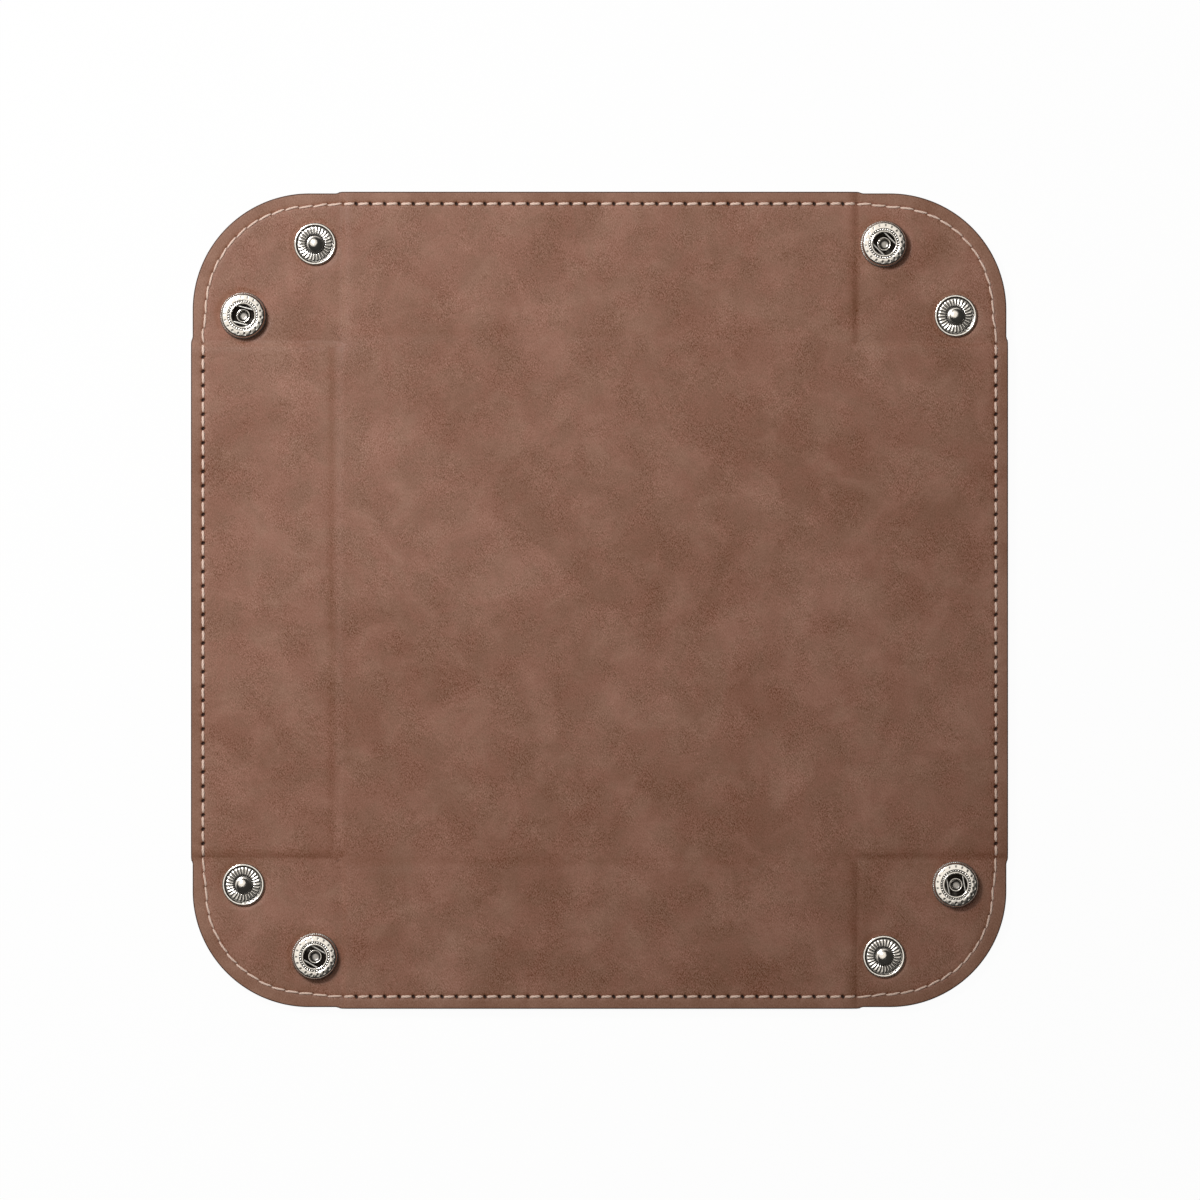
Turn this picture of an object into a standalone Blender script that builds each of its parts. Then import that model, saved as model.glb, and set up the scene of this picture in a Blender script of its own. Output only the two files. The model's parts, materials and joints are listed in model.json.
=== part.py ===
"""Folding dice tray: a flat square of double leather over boards, pinched into a tray by four snaps.

The square lies flat, its inner face up, on the caps of its snaps. A board stiffens the floor and each
of the four flaps. The corners between the flaps have no board: each is an ear that folds in two along
its diagonal, and one half's stud presses into the other half's socket, which stands the flaps up.

X runs east, Y north, Z up. The origin is under the middle of the sheet, level with the caps' domes.
The north flap and the north-east corner are described once, and turned round Z for the other three.
"""

import collections
import math

import bmesh
import bpy
from mathutils import Vector

SIDES = ("north", "east", "south", "west")
CORNERS = ("ne", "se", "sw", "nw")
ROOT_TWO = math.sqrt(2)

# The sheet and its layers, in metres
SHEET_WIDTH = 0.2052  # flap edge to flap edge
CORNER_RADIUS = 0.030
EAR_SETBACK = 0.0004  # the ears' edge lies this far inside the flaps'
SKIN = 0.0008  # one layer of leather
BOARD = 0.0010
GLUE = 0.0001

# The folds
FLAP_HEIGHT = 0.0363  # from the middle of a fold to the flap's edge
BOARD_GAP = 0.0026  # from the floor board to a flap board
FOLD_AXIS_LIFT = 0.0006  # a flap turns about a line this far above its inner face
CREASE_DIP = 0.0003  # how far both skins are pressed in along a fold
EAR_LIP = 0.0009  # over which an ear's inner skin comes down from the board's level
JOINT_GAP = 0.0003  # between the layers on either side of a fold
OPEN_CREASE_RELIEF = 0.0006  # cut back from the ear's free crease, which no hinge holds

# What the pieces of a snap share
SEAT_GAP = 0.0001  # between pieces that are clenched together
POCKET_DEPTH = 0.00025  # how far a clenched snap beds into the leather
POCKET_CLEARANCE = 0.0003  # round a snap in its pocket
HOLE_CLEARANCE = 0.00015  # round a shank or a barrel
MEETING_GAP = 0.0001  # between stud and socket when they are pressed home
SNAP_MARGIN = 0.0005  # from an ear's crease to the rim of the cap
CUT_OVERRUN = 0.001

# Cap: a domed head under the ear and a hollow shank, rolled over inside the socket
CAP_RADIUS = 0.00625
CAP_DEPTH = 0.0013
CAP_WALL = 0.0005
SHANK_RADIUS = 0.00145
SHANK_WALL = 0.0003
ROLL_WIDTH = 0.00045  # how far the roll spreads past the shank
ROLL_HEIGHT = 0.00055

# Socket: a toothed retaining plate, a shell with a beaded face, and the spring between them
PLATE_SETBACK = 0.00035  # the plate's teeth end this far inside the cap's rim
PLATE_THICKNESS = 0.00035
TOOTH_DEPTH = 0.00025
SHELL_SETBACK = 0.00035  # the shell's wall stands this far inside the teeth's tips
SHELL_WALL = 0.0005
SHELL_ROOF = 0.00045
SHOULDER_RADIUS = 0.0007
MOUTH_MARGIN = 0.00065  # from the stud's bulb to the socket's mouth
COLLAR_WIDTH = 0.0006
COLLAR_RISE = 0.00015
BEAD_GAP = 0.00012  # from the collar to the beads
BEAD_RADIUS = 0.00023
BEAD_RISE = 0.00013
WIRE_RADIUS = 0.000215
WIRE_CLEARANCE = 0.000185  # between the spring's legs and the stud's neck
CURL_RADIUS = 0.0008

# Stud: a ribbed flange with a raised rim, and a hollow bulb in its middle
STUD_RADIUS = 0.0053
RIM_WIDTH = 0.0008
RIM_HEIGHT = 0.00085
WEB_HEIGHT = 0.00045
RIB_RISE = 0.00018
RIB_INNER_RADIUS = 0.0024
RIB_OUTER_RADIUS = 0.0043
RIB_END = 0.00015  # the slope at each end of a rib
NECK_RADIUS = 0.00165
BULB_RADIUS = 0.0021
BULB_RISE = 0.0018  # the bulb's tip above the rim
STUD_WALL = 0.0003
TIP_CLEARANCE = 0.00015  # between the bulb's tip and the cap's roll

# Post: an eyelet whose barrel holds the stud to its ear
POST_RADIUS = 0.0050
POST_DEPTH = 0.0005
POST_EDGE = 0.0002  # the bevel of its head
BARREL_WALL = 0.0004
BARREL_CLEARANCE = 0.0002  # inside the stud's bore and under its roof

# Counts and angles
CORNER_STEPS = 6  # along one ear half's share of the rounded corner
HOLE_SIDES = 12
POCKET_SIDES = 24
SOCKET_SIDES = 32  # also the number of beads and of teeth
RIB_COUNT = 28
CAP_SIDES = 20
POST_SIDES = 20
DOME_STEPS = 3
RIM_STEPS = 3
CURL_STEPS = 5
BRIDGE_STEPS = 8
SPRING_TURNS_DEG = (45, 100, 60, -15)  # how each socket happens to sit, corner by corner
SHARP_EDGE_DEG = 32

# Levels, from the caps' domes up
EAR_THICKNESS = 2 * SKIN + GLUE
PANEL_THICKNESS = EAR_THICKNESS + BOARD + GLUE
EAR_OUTER = CAP_DEPTH + SEAT_GAP
EAR_INNER = EAR_OUTER + EAR_THICKNESS
EAR_MID = EAR_OUTER + EAR_THICKNESS / 2
PANEL_OUTER = EAR_MID - PANEL_THICKNESS / 2
PANEL_INNER = EAR_MID + PANEL_THICKNESS / 2
FOLD_AXIS_LEVEL = PANEL_INNER + FOLD_AXIS_LIFT
SNAP_SEAT = EAR_INNER - POCKET_DEPTH

# Heights inside the socket, from its seat
PLATE_TOP = SEAT_GAP + PLATE_THICKNESS
SHELL_FOOT = PLATE_TOP + SEAT_GAP
ROLL_TOP = SHELL_FOOT + ROLL_HEIGHT
SOCKET_HEIGHT = ROLL_TOP + TIP_CLEARANCE + BULB_RISE - MEETING_GAP
SHELL_CEILING = SOCKET_HEIGHT - SHELL_ROOF
WIRE_LEVEL = SHELL_CEILING - SEAT_GAP - WIRE_RADIUS

# Heights on the stud, from its seat
BULB_TIP = RIM_HEIGHT + BULB_RISE
SNAP_STACK = SOCKET_HEIGHT + MEETING_GAP + RIM_HEIGHT
NECK_LEVEL = SNAP_STACK - WIRE_LEVEL
BULB_LEVEL = NECK_LEVEL + 2 * WIRE_RADIUS

# Radii that follow from what fits in what
PLATE_RADIUS = CAP_RADIUS - PLATE_SETBACK
SHELL_RADIUS = PLATE_RADIUS - SHELL_SETBACK
CAVITY_RADIUS = SHELL_RADIUS - SHELL_WALL
MOUTH_RADIUS = BULB_RADIUS + MOUTH_MARGIN
COLLAR_RADIUS = MOUTH_RADIUS + COLLAR_WIDTH
BEAD_RING_RADIUS = COLLAR_RADIUS + BEAD_GAP + BEAD_RADIUS
SHANK_BORE = SHANK_RADIUS - SHANK_WALL
STUD_BORE = NECK_RADIUS - STUD_WALL
BARREL_RADIUS = STUD_BORE - BARREL_CLEARANCE
BARREL_BORE = BARREL_RADIUS - BARREL_WALL
LEG_OFFSET = NECK_RADIUS + WIRE_CLEARANCE + WIRE_RADIUS

# Places in the north flap and the north-east corner. The ear's crease stands in from the fold by as
# much as brings its halves together, a snap's thickness apart, when the flaps stand upright.
FLAP_HALF = SHEET_WIDTH / 2
FOLD_LINE = FLAP_HALF - FLAP_HEIGHT
EAR_HALF = FLAP_HALF - EAR_SETBACK
PINCH_GAP = SNAP_STACK - 2 * POCKET_DEPTH
CREASE = FOLD_LINE + FOLD_AXIS_LEVEL - EAR_MID - ROOT_TWO * (PINCH_GAP + EAR_THICKNESS) / 2
FLAP_END = CREASE - JOINT_GAP / 2
EAR_START = CREASE + JOINT_GAP / 2
FLOOR_HALF = FOLD_LINE - JOINT_GAP / 2
FLOOR_CUT = 2 * (FLOOR_HALF - EAR_START) + JOINT_GAP / ROOT_TWO  # clears the ear's inner corner
FLAP_START = FOLD_LINE + JOINT_GAP / 2
FOLD_LIP = (BOARD_GAP - JOINT_GAP) / 2
EAR_MIDDLE = (FOLD_LINE + EAR_HALF) / 2
PINCH_LEVEL = EAR_INNER + PINCH_GAP / 2
SNAP_ALONG = CREASE + CAP_RADIUS + SNAP_MARGIN
SNAP_ACROSS = (ROOT_TWO * EAR_HALF + SNAP_ALONG) / (ROOT_TWO + 1)  # as near the pinch as the edge

FOLD_AXIS = Vector((0, FOLD_LINE, FOLD_AXIS_LEVEL))
CREASE_AXIS = Vector((CREASE, EAR_MIDDLE, EAR_MID))
PINCH_AXIS = Vector((EAR_MIDDLE, EAR_MIDDLE, PINCH_LEVEL))
SOCKET_PLACE = Vector((SNAP_ALONG, SNAP_ACROSS, SNAP_SEAT))
STUD_PLACE = Vector((SNAP_ACROSS, SNAP_ALONG, SNAP_SEAT))

# An empty and its place in the quarter that it belongs to
Pivot = collections.namedtuple("Pivot", "empty place")


def clear_scene():
    for old in list(bpy.data.objects):
        bpy.data.objects.remove(old, do_unlink=True)


def material(name, colour, roughness, metallic):
    made = bpy.data.materials.new(name)
    made.use_nodes = True
    shader = made.node_tree.nodes["Principled BSDF"]
    shader.inputs["Base Color"].default_value = (*colour, 1)
    shader.inputs["Roughness"].default_value = roughness
    shader.inputs["Metallic"].default_value = metallic
    made.diffuse_color = (*colour, 1)
    return made


def attach(made, pivot, place):
    """Links an object at its place in the quarter, carried by a pivot or by nothing."""
    bpy.context.scene.collection.objects.link(made)
    if pivot:
        made.parent = pivot.empty
        place = place - pivot.place
    made.location = place
    return made


def new_pivot(name, carrier, place):
    empty = attach(bpy.data.objects.new(name, None), carrier, place)
    empty.empty_display_size = SHANK_RADIUS
    return Pivot(empty, place)


def quarter_pivot(name, quarter):
    """The frame of one flap and its corner: north and north-east, turned clockwise from above."""
    turned_frame = new_pivot(name, None, Vector())
    turned_frame.empty.rotation_euler.z = -math.tau * quarter / len(SIDES)
    return turned_frame


def solid(name, bm, finish, pivot, place, smooth=False):
    """Makes the named object of a closed bmesh that is drawn round its own place."""
    bmesh.ops.recalc_face_normals(bm, faces=bm.faces)
    if bm.calc_volume(signed=True) < 0:
        bmesh.ops.reverse_faces(bm, faces=bm.faces)
    mesh = bpy.data.meshes.new(name)
    bm.to_mesh(mesh)
    bm.free()
    if smooth:
        mesh.shade_smooth()
        mesh.set_sharp_from_angle(angle=math.radians(SHARP_EDGE_DEG))
    mesh.materials.append(finish)
    return attach(bpy.data.objects.new(name, mesh), pivot, place)


def layer(name, bm, finish, pivot):
    """Makes the object of a bmesh that is drawn in the quarter. Its origin goes to its pivot."""
    place = pivot.place if pivot else Vector()
    bmesh.ops.translate(bm, verts=bm.verts, vec=-place)
    return solid(name, bm, finish, pivot, place)


# Flat layers


def prism(outline, low, high, lip_rise=0, lower_outline=None):
    """A plate between two levels. Its first two points are the free edge of a lip, which bends from
    the plate along the line through the third point and the last, and rises by lip_rise. A lower
    outline slants the sides."""
    bm = bmesh.new()
    caps = []
    for level, points in ((high, outline), (low, lower_outline or outline)):
        cap = []
        for index, (x, y) in enumerate(points):
            cap.append(bm.verts.new((x, y, level + (lip_rise if index < 2 else 0))))
        caps.append(cap)
        face = bm.faces.new(cap)
        if lip_rise:
            bmesh.utils.face_split(face, cap[2], cap[-1])
    for index in range(len(outline)):
        upper, lower = caps
        bm.faces.new((upper[index - 1], upper[index], lower[index], lower[index - 1]))
    return bm


def cut_square(half, cut):
    """A square about the middle with its four corners cut off."""
    points = []
    for quarter in range(len(SIDES)):
        cosine, sine = math.cos(math.tau * quarter / len(SIDES)), math.sin(math.tau * quarter / len(SIDES))
        for x, y in ((half, cut - half), (half, half - cut)):
            points.append((x * cosine - y * sine, x * sine + y * cosine))
    return points


def floor_skin(low, high, dip):
    """The floor's skin, with a lip along its edges that goes down by dip into the folds."""
    bm = prism(cut_square(FLOOR_HALF, FLOOR_CUT), low, high)
    bm.normal_update()
    caps = [face for face in bm.faces if len(face.verts) > 4]
    bmesh.ops.inset_individual(bm, faces=caps, thickness=FOLD_LIP, use_even_offset=True)
    inside = {vert for face in caps for vert in face.verts}
    for vert in bm.verts:
        if vert not in inside:
            vert.co.z -= dip
    return bm


def flap_outline(end):
    """The north flap, its fold edge first. It reaches from -end to end."""
    lip_end = FLAP_START + FOLD_LIP
    return [
        (-end, FLAP_START),
        (end, FLAP_START),
        (end, lip_end),
        (end, FLAP_HALF),
        (-end, FLAP_HALF),
        (-end, lip_end),
    ]


def ear_edge(x):
    """How far north the north-east ear reaches at x, along its straight edge or its rounded corner."""
    centre = EAR_HALF - CORNER_RADIUS
    return centre + math.sqrt(CORNER_RADIUS**2 - max(0, x - centre) ** 2)


def ear_outline(start):
    """The half of the north-east ear that adjoins the north flap, its creased edge first."""
    aside = JOINT_GAP / ROOT_TWO
    lip_end = start + EAR_LIP
    centre = EAR_HALF - CORNER_RADIUS
    first = math.acos(max(0, lip_end + JOINT_GAP - centre) / CORNER_RADIUS)
    last = math.radians(45) + math.asin(JOINT_GAP / 2 / CORNER_RADIUS)
    points = [(start, start + aside), (start, ear_edge(start)), (lip_end, ear_edge(lip_end))]
    for step in range(CORNER_STEPS + 1):
        turn = first + (last - first) * step / CORNER_STEPS
        points.append((centre + CORNER_RADIUS * math.cos(turn), centre + CORNER_RADIUS * math.sin(turn)))
    return [*points, (lip_end, lip_end + aside)]


def ear_skin(name, start, low, high, lip_rise, skive, mirrored, finish, pivot, cutter):
    """One skin of half an ear. Skiving slants its creased edge back, towards its lower face."""
    bm = prism(ear_outline(start), low, high, lip_rise, ear_outline(start + skive))
    if mirrored:
        for vert in bm.verts:
            vert.co.xy = vert.co.yx
    skin = layer(name, bm, finish, pivot)
    cut = skin.modifiers.new("snap_hole", "BOOLEAN")
    cut.operation = "DIFFERENCE"
    cut.solver = "EXACT"
    cut.object = cutter


# Turned pieces


def ring(count, radius, height, crest=None):
    """Points round Z. With a crest, every second point lies at the crest's radius and height."""
    points = []
    for index in range(count):
        r, z = crest if crest and index % 2 else (radius, height)
        turn = math.tau * index / count
        points.append((r * math.cos(turn), r * math.sin(turn), z))
    return points


def quarter_round(radius, height, width, rise, steps):
    """(radius, height) pairs along a quarter ellipse, from beside its centre to straight above it."""
    pairs = []
    for step in range(steps + 1):
        turn = math.radians(90) * step / steps
        pairs.append((radius + width * math.cos(turn), height + rise * math.sin(turn)))
    return pairs


def half_round(inner, outer, height, rise, steps):
    """(radius, height) pairs over a rounded ridge, from its outer foot to its inner one."""
    middle = (inner + outer) / 2
    pairs = []
    for step in range(steps + 1):
        turn = math.pi * step / steps
        pairs.append((middle + (outer - middle) * math.cos(turn), height + rise * math.sin(turn)))
    return pairs


def turned(rings, closed):
    """Skins a row of rings. A ring may have a multiple of its neighbour's points, or be one point."""
    bm = bmesh.new()
    rows = [[bm.verts.new(point) for point in points] for points in rings]
    pairs = list(zip(rows, rows[1:]))
    if closed:
        pairs.append((rows[-1], rows[0]))
    for row, following in pairs:
        few, many = sorted((row, following), key=len)
        for index in range(len(many)):
            after = (index + 1) % len(many)
            near = few[index * len(few) // len(many)]
            far = few[after * len(few) // len(many)]
            bm.faces.new(dict.fromkeys((many[index], many[after], far, near)))
    return bm


def pole(height):
    return [(0, 0, height)]


def snap_cutter(name, place, pocket_radius, hole_radius, pivot):
    """Cuts a snap's pocket into an ear's inner face, and the hole under it through both skins."""
    above = POCKET_DEPTH + PANEL_THICKNESS
    below = -EAR_THICKNESS - CUT_OVERRUN
    rings = [
        pole(above),
        ring(POCKET_SIDES, pocket_radius, above),
        ring(POCKET_SIDES, pocket_radius, 0),
        ring(HOLE_SIDES, hole_radius, 0),
        ring(HOLE_SIDES, hole_radius, below),
        pole(below),
    ]
    cutter = solid(name, turned(rings, closed=False), None, pivot, place)
    cutter.hide_render = True
    cutter.display_type = "WIRE"
    return cutter


def retaining_plate():
    rings = [
        ring(HOLE_SIDES, SHANK_RADIUS + HOLE_CLEARANCE, PLATE_TOP),
        ring(HOLE_SIDES, SHANK_RADIUS + HOLE_CLEARANCE, SEAT_GAP),
    ]
    for height in (SEAT_GAP, PLATE_TOP):
        rings.append(ring(2 * SOCKET_SIDES, PLATE_RADIUS - TOOTH_DEPTH, height, (PLATE_RADIUS, height)))
    return turned(rings, closed=True)


def socket_shell():
    """The shell, from its foot up the outside, across the beaded face and down its mouth."""
    shoulder = SHELL_RADIUS - SHOULDER_RADIUS
    bead_crest = (BEAD_RING_RADIUS, SOCKET_HEIGHT + BEAD_RISE)
    outside = [(SHELL_RADIUS, SHELL_FOOT)]
    outside += quarter_round(shoulder, SOCKET_HEIGHT - SHOULDER_RADIUS, SHOULDER_RADIUS, SHOULDER_RADIUS, 2)
    outside.append((BEAD_RING_RADIUS + BEAD_RADIUS, SOCKET_HEIGHT))
    inside = [(BEAD_RING_RADIUS - BEAD_RADIUS, SOCKET_HEIGHT)]
    inside += half_round(MOUTH_RADIUS, COLLAR_RADIUS, SOCKET_HEIGHT, COLLAR_RISE, 2)
    inside += [(MOUTH_RADIUS, SHELL_CEILING), (CAVITY_RADIUS, SHELL_CEILING), (CAVITY_RADIUS, SHELL_FOOT)]
    rings = [ring(SOCKET_SIDES, radius, height) for radius, height in outside]
    rings.append(ring(2 * SOCKET_SIDES, BEAD_RING_RADIUS, SOCKET_HEIGHT, bead_crest))
    rings += [ring(SOCKET_SIDES, radius, height) for radius, height in inside]
    return turned(rings, closed=True)


def spring_wire(name, turn, finish, pivot, place):
    """A hairpin of spring wire: two straight legs beside the stud's neck, whose free ends curl out."""
    reach = CAVITY_RADIUS - SEAT_GAP - WIRE_RADIUS
    bridge = reach - LEG_OFFSET
    curl_reach = reach - CURL_RADIUS
    curl_centre = LEG_OFFSET + CURL_RADIUS
    leg_end = math.sqrt(curl_reach**2 - curl_centre**2)
    points = []
    for step in range(CURL_STEPS + 1):
        angle = math.pi * step / CURL_STEPS
        points.append((curl_centre + CURL_RADIUS * math.cos(angle), leg_end + CURL_RADIUS * math.sin(angle)))
    for step in range(BRIDGE_STEPS + 1):
        angle = -math.pi * step / BRIDGE_STEPS
        points.append((LEG_OFFSET * math.cos(angle), LEG_OFFSET * math.sin(angle) - bridge))
    for x, y in reversed(points[: CURL_STEPS + 1]):
        points.append((-x, y))
    curve = bpy.data.curves.new(name, "CURVE")
    curve.dimensions = "3D"
    curve.bevel_depth = WIRE_RADIUS
    curve.bevel_resolution = 1
    curve.use_fill_caps = True
    spline = curve.splines.new("POLY")
    spline.points.add(len(points) - 1)
    for point, (x, y) in zip(spline.points, points):
        point.co = (x, y, 0, 1)
    curve.materials.append(finish)
    wire = attach(bpy.data.objects.new(name, curve), pivot, place)
    wire.rotation_euler.z = turn


def cap():
    """The cap, drawn from the ear's outer face: dome, rim, shank, roll and blind bore."""
    head = -SEAT_GAP
    seat = SNAP_SEAT - EAR_OUTER
    dome = quarter_round(0, 0, CAP_RADIUS, CAP_DEPTH - CAP_WALL, DOME_STEPS)[:-1]
    bottom = [(radius, head - CAP_WALL - height) for radius, height in reversed(dome)]
    shank = [(CAP_RADIUS, head), (SHANK_RADIUS, head), (SHANK_RADIUS, seat + SHELL_FOOT)]
    roll = half_round(SHANK_BORE, SHANK_RADIUS + ROLL_WIDTH, seat + SHELL_FOOT, ROLL_HEIGHT, RIM_STEPS)
    bore_end = head - CAP_DEPTH + CAP_WALL
    rings = [pole(head - CAP_DEPTH)]
    for radius, height in [*bottom, *shank, *roll, (SHANK_BORE, bore_end)]:
        rings.append(ring(CAP_SIDES, radius, height))
    return turned([*rings, pole(bore_end)], closed=False)


def stud():
    """The stud, from the bulb's tip down its neck, over the ribs and the rim, and up its bore."""
    dome = quarter_round(0, BULB_LEVEL, BULB_RADIUS, BULB_TIP - BULB_LEVEL, DOME_STEPS)[:-1]
    neck = [(NECK_RADIUS, NECK_LEVEL), (NECK_RADIUS, WEB_HEIGHT), (RIB_INNER_RADIUS, WEB_HEIGHT)]
    rim = half_round(STUD_RADIUS - RIM_WIDTH, STUD_RADIUS, WEB_HEIGHT, RIM_HEIGHT - WEB_HEIGHT, RIM_STEPS)
    rings = [pole(BULB_TIP)]
    rings += [ring(RIB_COUNT, radius, height) for radius, height in [*reversed(dome), *neck]]
    for radius in (RIB_INNER_RADIUS + RIB_END, RIB_OUTER_RADIUS - RIB_END):
        rings.append(ring(2 * RIB_COUNT, radius, WEB_HEIGHT, (radius, WEB_HEIGHT + RIB_RISE)))
    rings.append(ring(RIB_COUNT, RIB_OUTER_RADIUS, WEB_HEIGHT))
    rings += [ring(RIB_COUNT, radius, height) for radius, height in [*reversed(rim), (STUD_RADIUS, SEAT_GAP)]]
    rings += [ring(RIB_COUNT // 2, STUD_BORE, height) for height in (SEAT_GAP, BULB_LEVEL)]
    return turned([*rings, pole(BULB_TIP - STUD_WALL)], closed=False)


def post():
    """The post, drawn from the ear's outer face: an eyelet that is open right through."""
    head = -SEAT_GAP
    face = head - POST_DEPTH
    tip = SNAP_SEAT - EAR_OUTER + BULB_LEVEL - BARREL_CLEARANCE
    profile = [
        (BARREL_RADIUS, tip),
        (BARREL_RADIUS, head),
        (POST_RADIUS, head),
        (POST_RADIUS, face + POST_EDGE),
        (POST_RADIUS - POST_EDGE, face),
        (BARREL_BORE + POST_EDGE, face),
        (BARREL_BORE, face + POST_EDGE),
        (BARREL_BORE, tip),
    ]
    return turned([ring(POST_SIDES, radius, height) for radius, height in profile], closed=True)


# The assembly


def build_floor(leather, board):
    low = PANEL_OUTER + SKIN + GLUE
    board_cut = FLOOR_CUT - (2 - ROOT_TWO) * FOLD_LIP
    board_outline = cut_square(FLOOR_HALF - FOLD_LIP, board_cut)
    layer("floor_inner_skin", floor_skin(PANEL_INNER - SKIN, PANEL_INNER, CREASE_DIP), leather, None)
    layer("floor_board", prism(board_outline, low, low + BOARD), board, None)
    layer("floor_outer_skin", floor_skin(PANEL_OUTER, PANEL_OUTER + SKIN, -CREASE_DIP), leather, None)


def build_flap(side, quarter, leather, board):
    """One flap on its fold. Its outer skin is skived at both ends, where the ears' caps swing in
    against it. Its pivot is handed back, for the ear that it carries."""
    fold = new_pivot(f"{side}_fold", quarter_pivot(f"{side}_quarter", quarter), FOLD_AXIS)
    outline = flap_outline(FLAP_END)
    skived = flap_outline(FLAP_END - SKIN)
    low = PANEL_OUTER + SKIN + GLUE
    inner = prism(outline, PANEL_INNER - SKIN, PANEL_INNER, lip_rise=-CREASE_DIP)
    outer = prism(outline, PANEL_OUTER, PANEL_OUTER + SKIN, CREASE_DIP, lower_outline=skived)
    layer(f"{side}_flap_inner_skin", inner, leather, fold)
    layer(f"{side}_flap_board", prism(outline[2:], low, low + BOARD), board, fold)
    layer(f"{side}_flap_outer_skin", outer, leather, fold)
    return fold


def build_ear_half(name, start, mirrored, leather, pivot, cutter):
    """Both skins of half an ear. The outer one is skived where it bends against the flap."""
    step = PANEL_INNER - EAR_INNER
    inner_start = (start, EAR_INNER - SKIN, EAR_INNER, step, 0)
    outer_start = (start, EAR_OUTER, EAR_OUTER + SKIN, 0, SKIN)
    ear_skin(f"{name}_inner_skin", *inner_start, mirrored, leather, pivot, cutter)
    ear_skin(f"{name}_outer_skin", *outer_start, mirrored, leather, pivot, cutter)


def build_socket_half(corner, fold, turn, leather, nickel, steel):
    """The half of an ear that carries the cap and the socket. Its pivot is its crease."""
    crease = new_pivot(f"{corner}_crease", fold, CREASE_AXIS)
    pocket = PLATE_RADIUS + POCKET_CLEARANCE
    hole = SHANK_RADIUS + HOLE_CLEARANCE
    cutter = snap_cutter(f"{corner}_socket_cutter", SOCKET_PLACE, pocket, hole, crease)
    build_ear_half(f"{corner}_socket_ear", EAR_START, False, leather, crease, cutter)
    under = Vector((*SOCKET_PLACE.xy, EAR_OUTER))
    wire_place = Vector((*SOCKET_PLACE.xy, SNAP_SEAT + WIRE_LEVEL))
    plate = solid(f"{corner}_retaining_plate", retaining_plate(), nickel, crease, SOCKET_PLACE, True)
    shell = solid(f"{corner}_socket_shell", socket_shell(), nickel, crease, SOCKET_PLACE, True)
    for piece in (plate, shell):
        piece.rotation_euler.z = turn
    spring_wire(f"{corner}_socket_spring", turn, steel, crease, wire_place)
    solid(f"{corner}_cap", cap(), nickel, crease, under, True)
    return crease


def build_stud_half(corner, crease, leather, nickel):
    """The half of an ear that carries the stud. It is pinched over the other half's socket."""
    pinch = new_pivot(f"{corner}_pinch", crease, PINCH_AXIS)
    pocket = STUD_RADIUS + POCKET_CLEARANCE
    hole = BARREL_RADIUS + HOLE_CLEARANCE
    cutter = snap_cutter(f"{corner}_stud_cutter", STUD_PLACE, pocket, hole, pinch)
    start = EAR_START + OPEN_CREASE_RELIEF
    build_ear_half(f"{corner}_stud_ear", start, True, leather, pinch, cutter)
    under = Vector((*STUD_PLACE.xy, EAR_OUTER))
    solid(f"{corner}_stud", stud(), nickel, pinch, STUD_PLACE, True)
    solid(f"{corner}_stud_post", post(), nickel, pinch, under, True)


def build():
    clear_scene()
    leather = material("leather", (0.245, 0.125, 0.088), roughness=0.62, metallic=0)
    board = material("grey_board", (0.28, 0.26, 0.23), roughness=0.9, metallic=0)
    nickel = material("nickel_plated_brass", (0.66, 0.63, 0.58), roughness=0.26, metallic=1)
    steel = material("spring_steel", (0.50, 0.49, 0.47), roughness=0.3, metallic=1)
    build_floor(leather, board)
    for quarter, (side, corner) in enumerate(zip(SIDES, CORNERS)):
        turn = math.radians(SPRING_TURNS_DEG[quarter])
        fold = build_flap(side, quarter, leather, board)
        crease = build_socket_half(corner, fold, turn, leather, nickel, steel)
        build_stud_half(corner, crease, leather, nickel)


build()
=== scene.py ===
# %% [markdown]
# A folding dice tray, seen flat from straight above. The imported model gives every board, fold and
# press stud its place. This lesson dresses it: soft mottled leather with sunk stitching, cut edges,
# and nickel snaps with ribs, beads and springs. Lengths are in metres, and MM is one millimetre.

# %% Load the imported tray
import functools
import json
import math

import bmesh
import bpy
import numpy as np
from mathutils import Matrix, Vector


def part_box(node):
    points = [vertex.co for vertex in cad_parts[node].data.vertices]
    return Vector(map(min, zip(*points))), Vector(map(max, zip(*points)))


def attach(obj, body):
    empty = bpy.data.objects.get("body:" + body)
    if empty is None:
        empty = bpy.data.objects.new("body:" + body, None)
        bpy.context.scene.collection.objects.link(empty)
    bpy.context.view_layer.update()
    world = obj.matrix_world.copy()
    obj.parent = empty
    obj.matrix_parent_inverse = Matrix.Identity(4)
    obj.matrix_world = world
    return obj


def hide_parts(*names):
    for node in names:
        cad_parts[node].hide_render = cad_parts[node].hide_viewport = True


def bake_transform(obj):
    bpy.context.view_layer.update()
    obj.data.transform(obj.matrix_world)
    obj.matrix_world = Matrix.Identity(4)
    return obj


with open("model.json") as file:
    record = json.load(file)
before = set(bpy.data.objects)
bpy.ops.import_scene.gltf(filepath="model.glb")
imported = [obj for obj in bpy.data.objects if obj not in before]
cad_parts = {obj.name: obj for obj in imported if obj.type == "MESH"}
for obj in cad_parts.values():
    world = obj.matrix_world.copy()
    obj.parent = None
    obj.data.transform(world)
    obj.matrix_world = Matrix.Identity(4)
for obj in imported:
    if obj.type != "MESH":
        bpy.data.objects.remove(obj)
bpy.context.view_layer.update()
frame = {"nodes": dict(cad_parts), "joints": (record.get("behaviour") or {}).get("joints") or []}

MM = 0.001
SIDES = ("north", "east", "south", "west")
CORNERS = ("ne", "se", "sw", "nw")

# %% [markdown]
# The sheet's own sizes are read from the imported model, so that the leather lands on the boards. A
# fold line and an ear's crease are the axes of two joints, and the levels are those of the skins.

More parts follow.
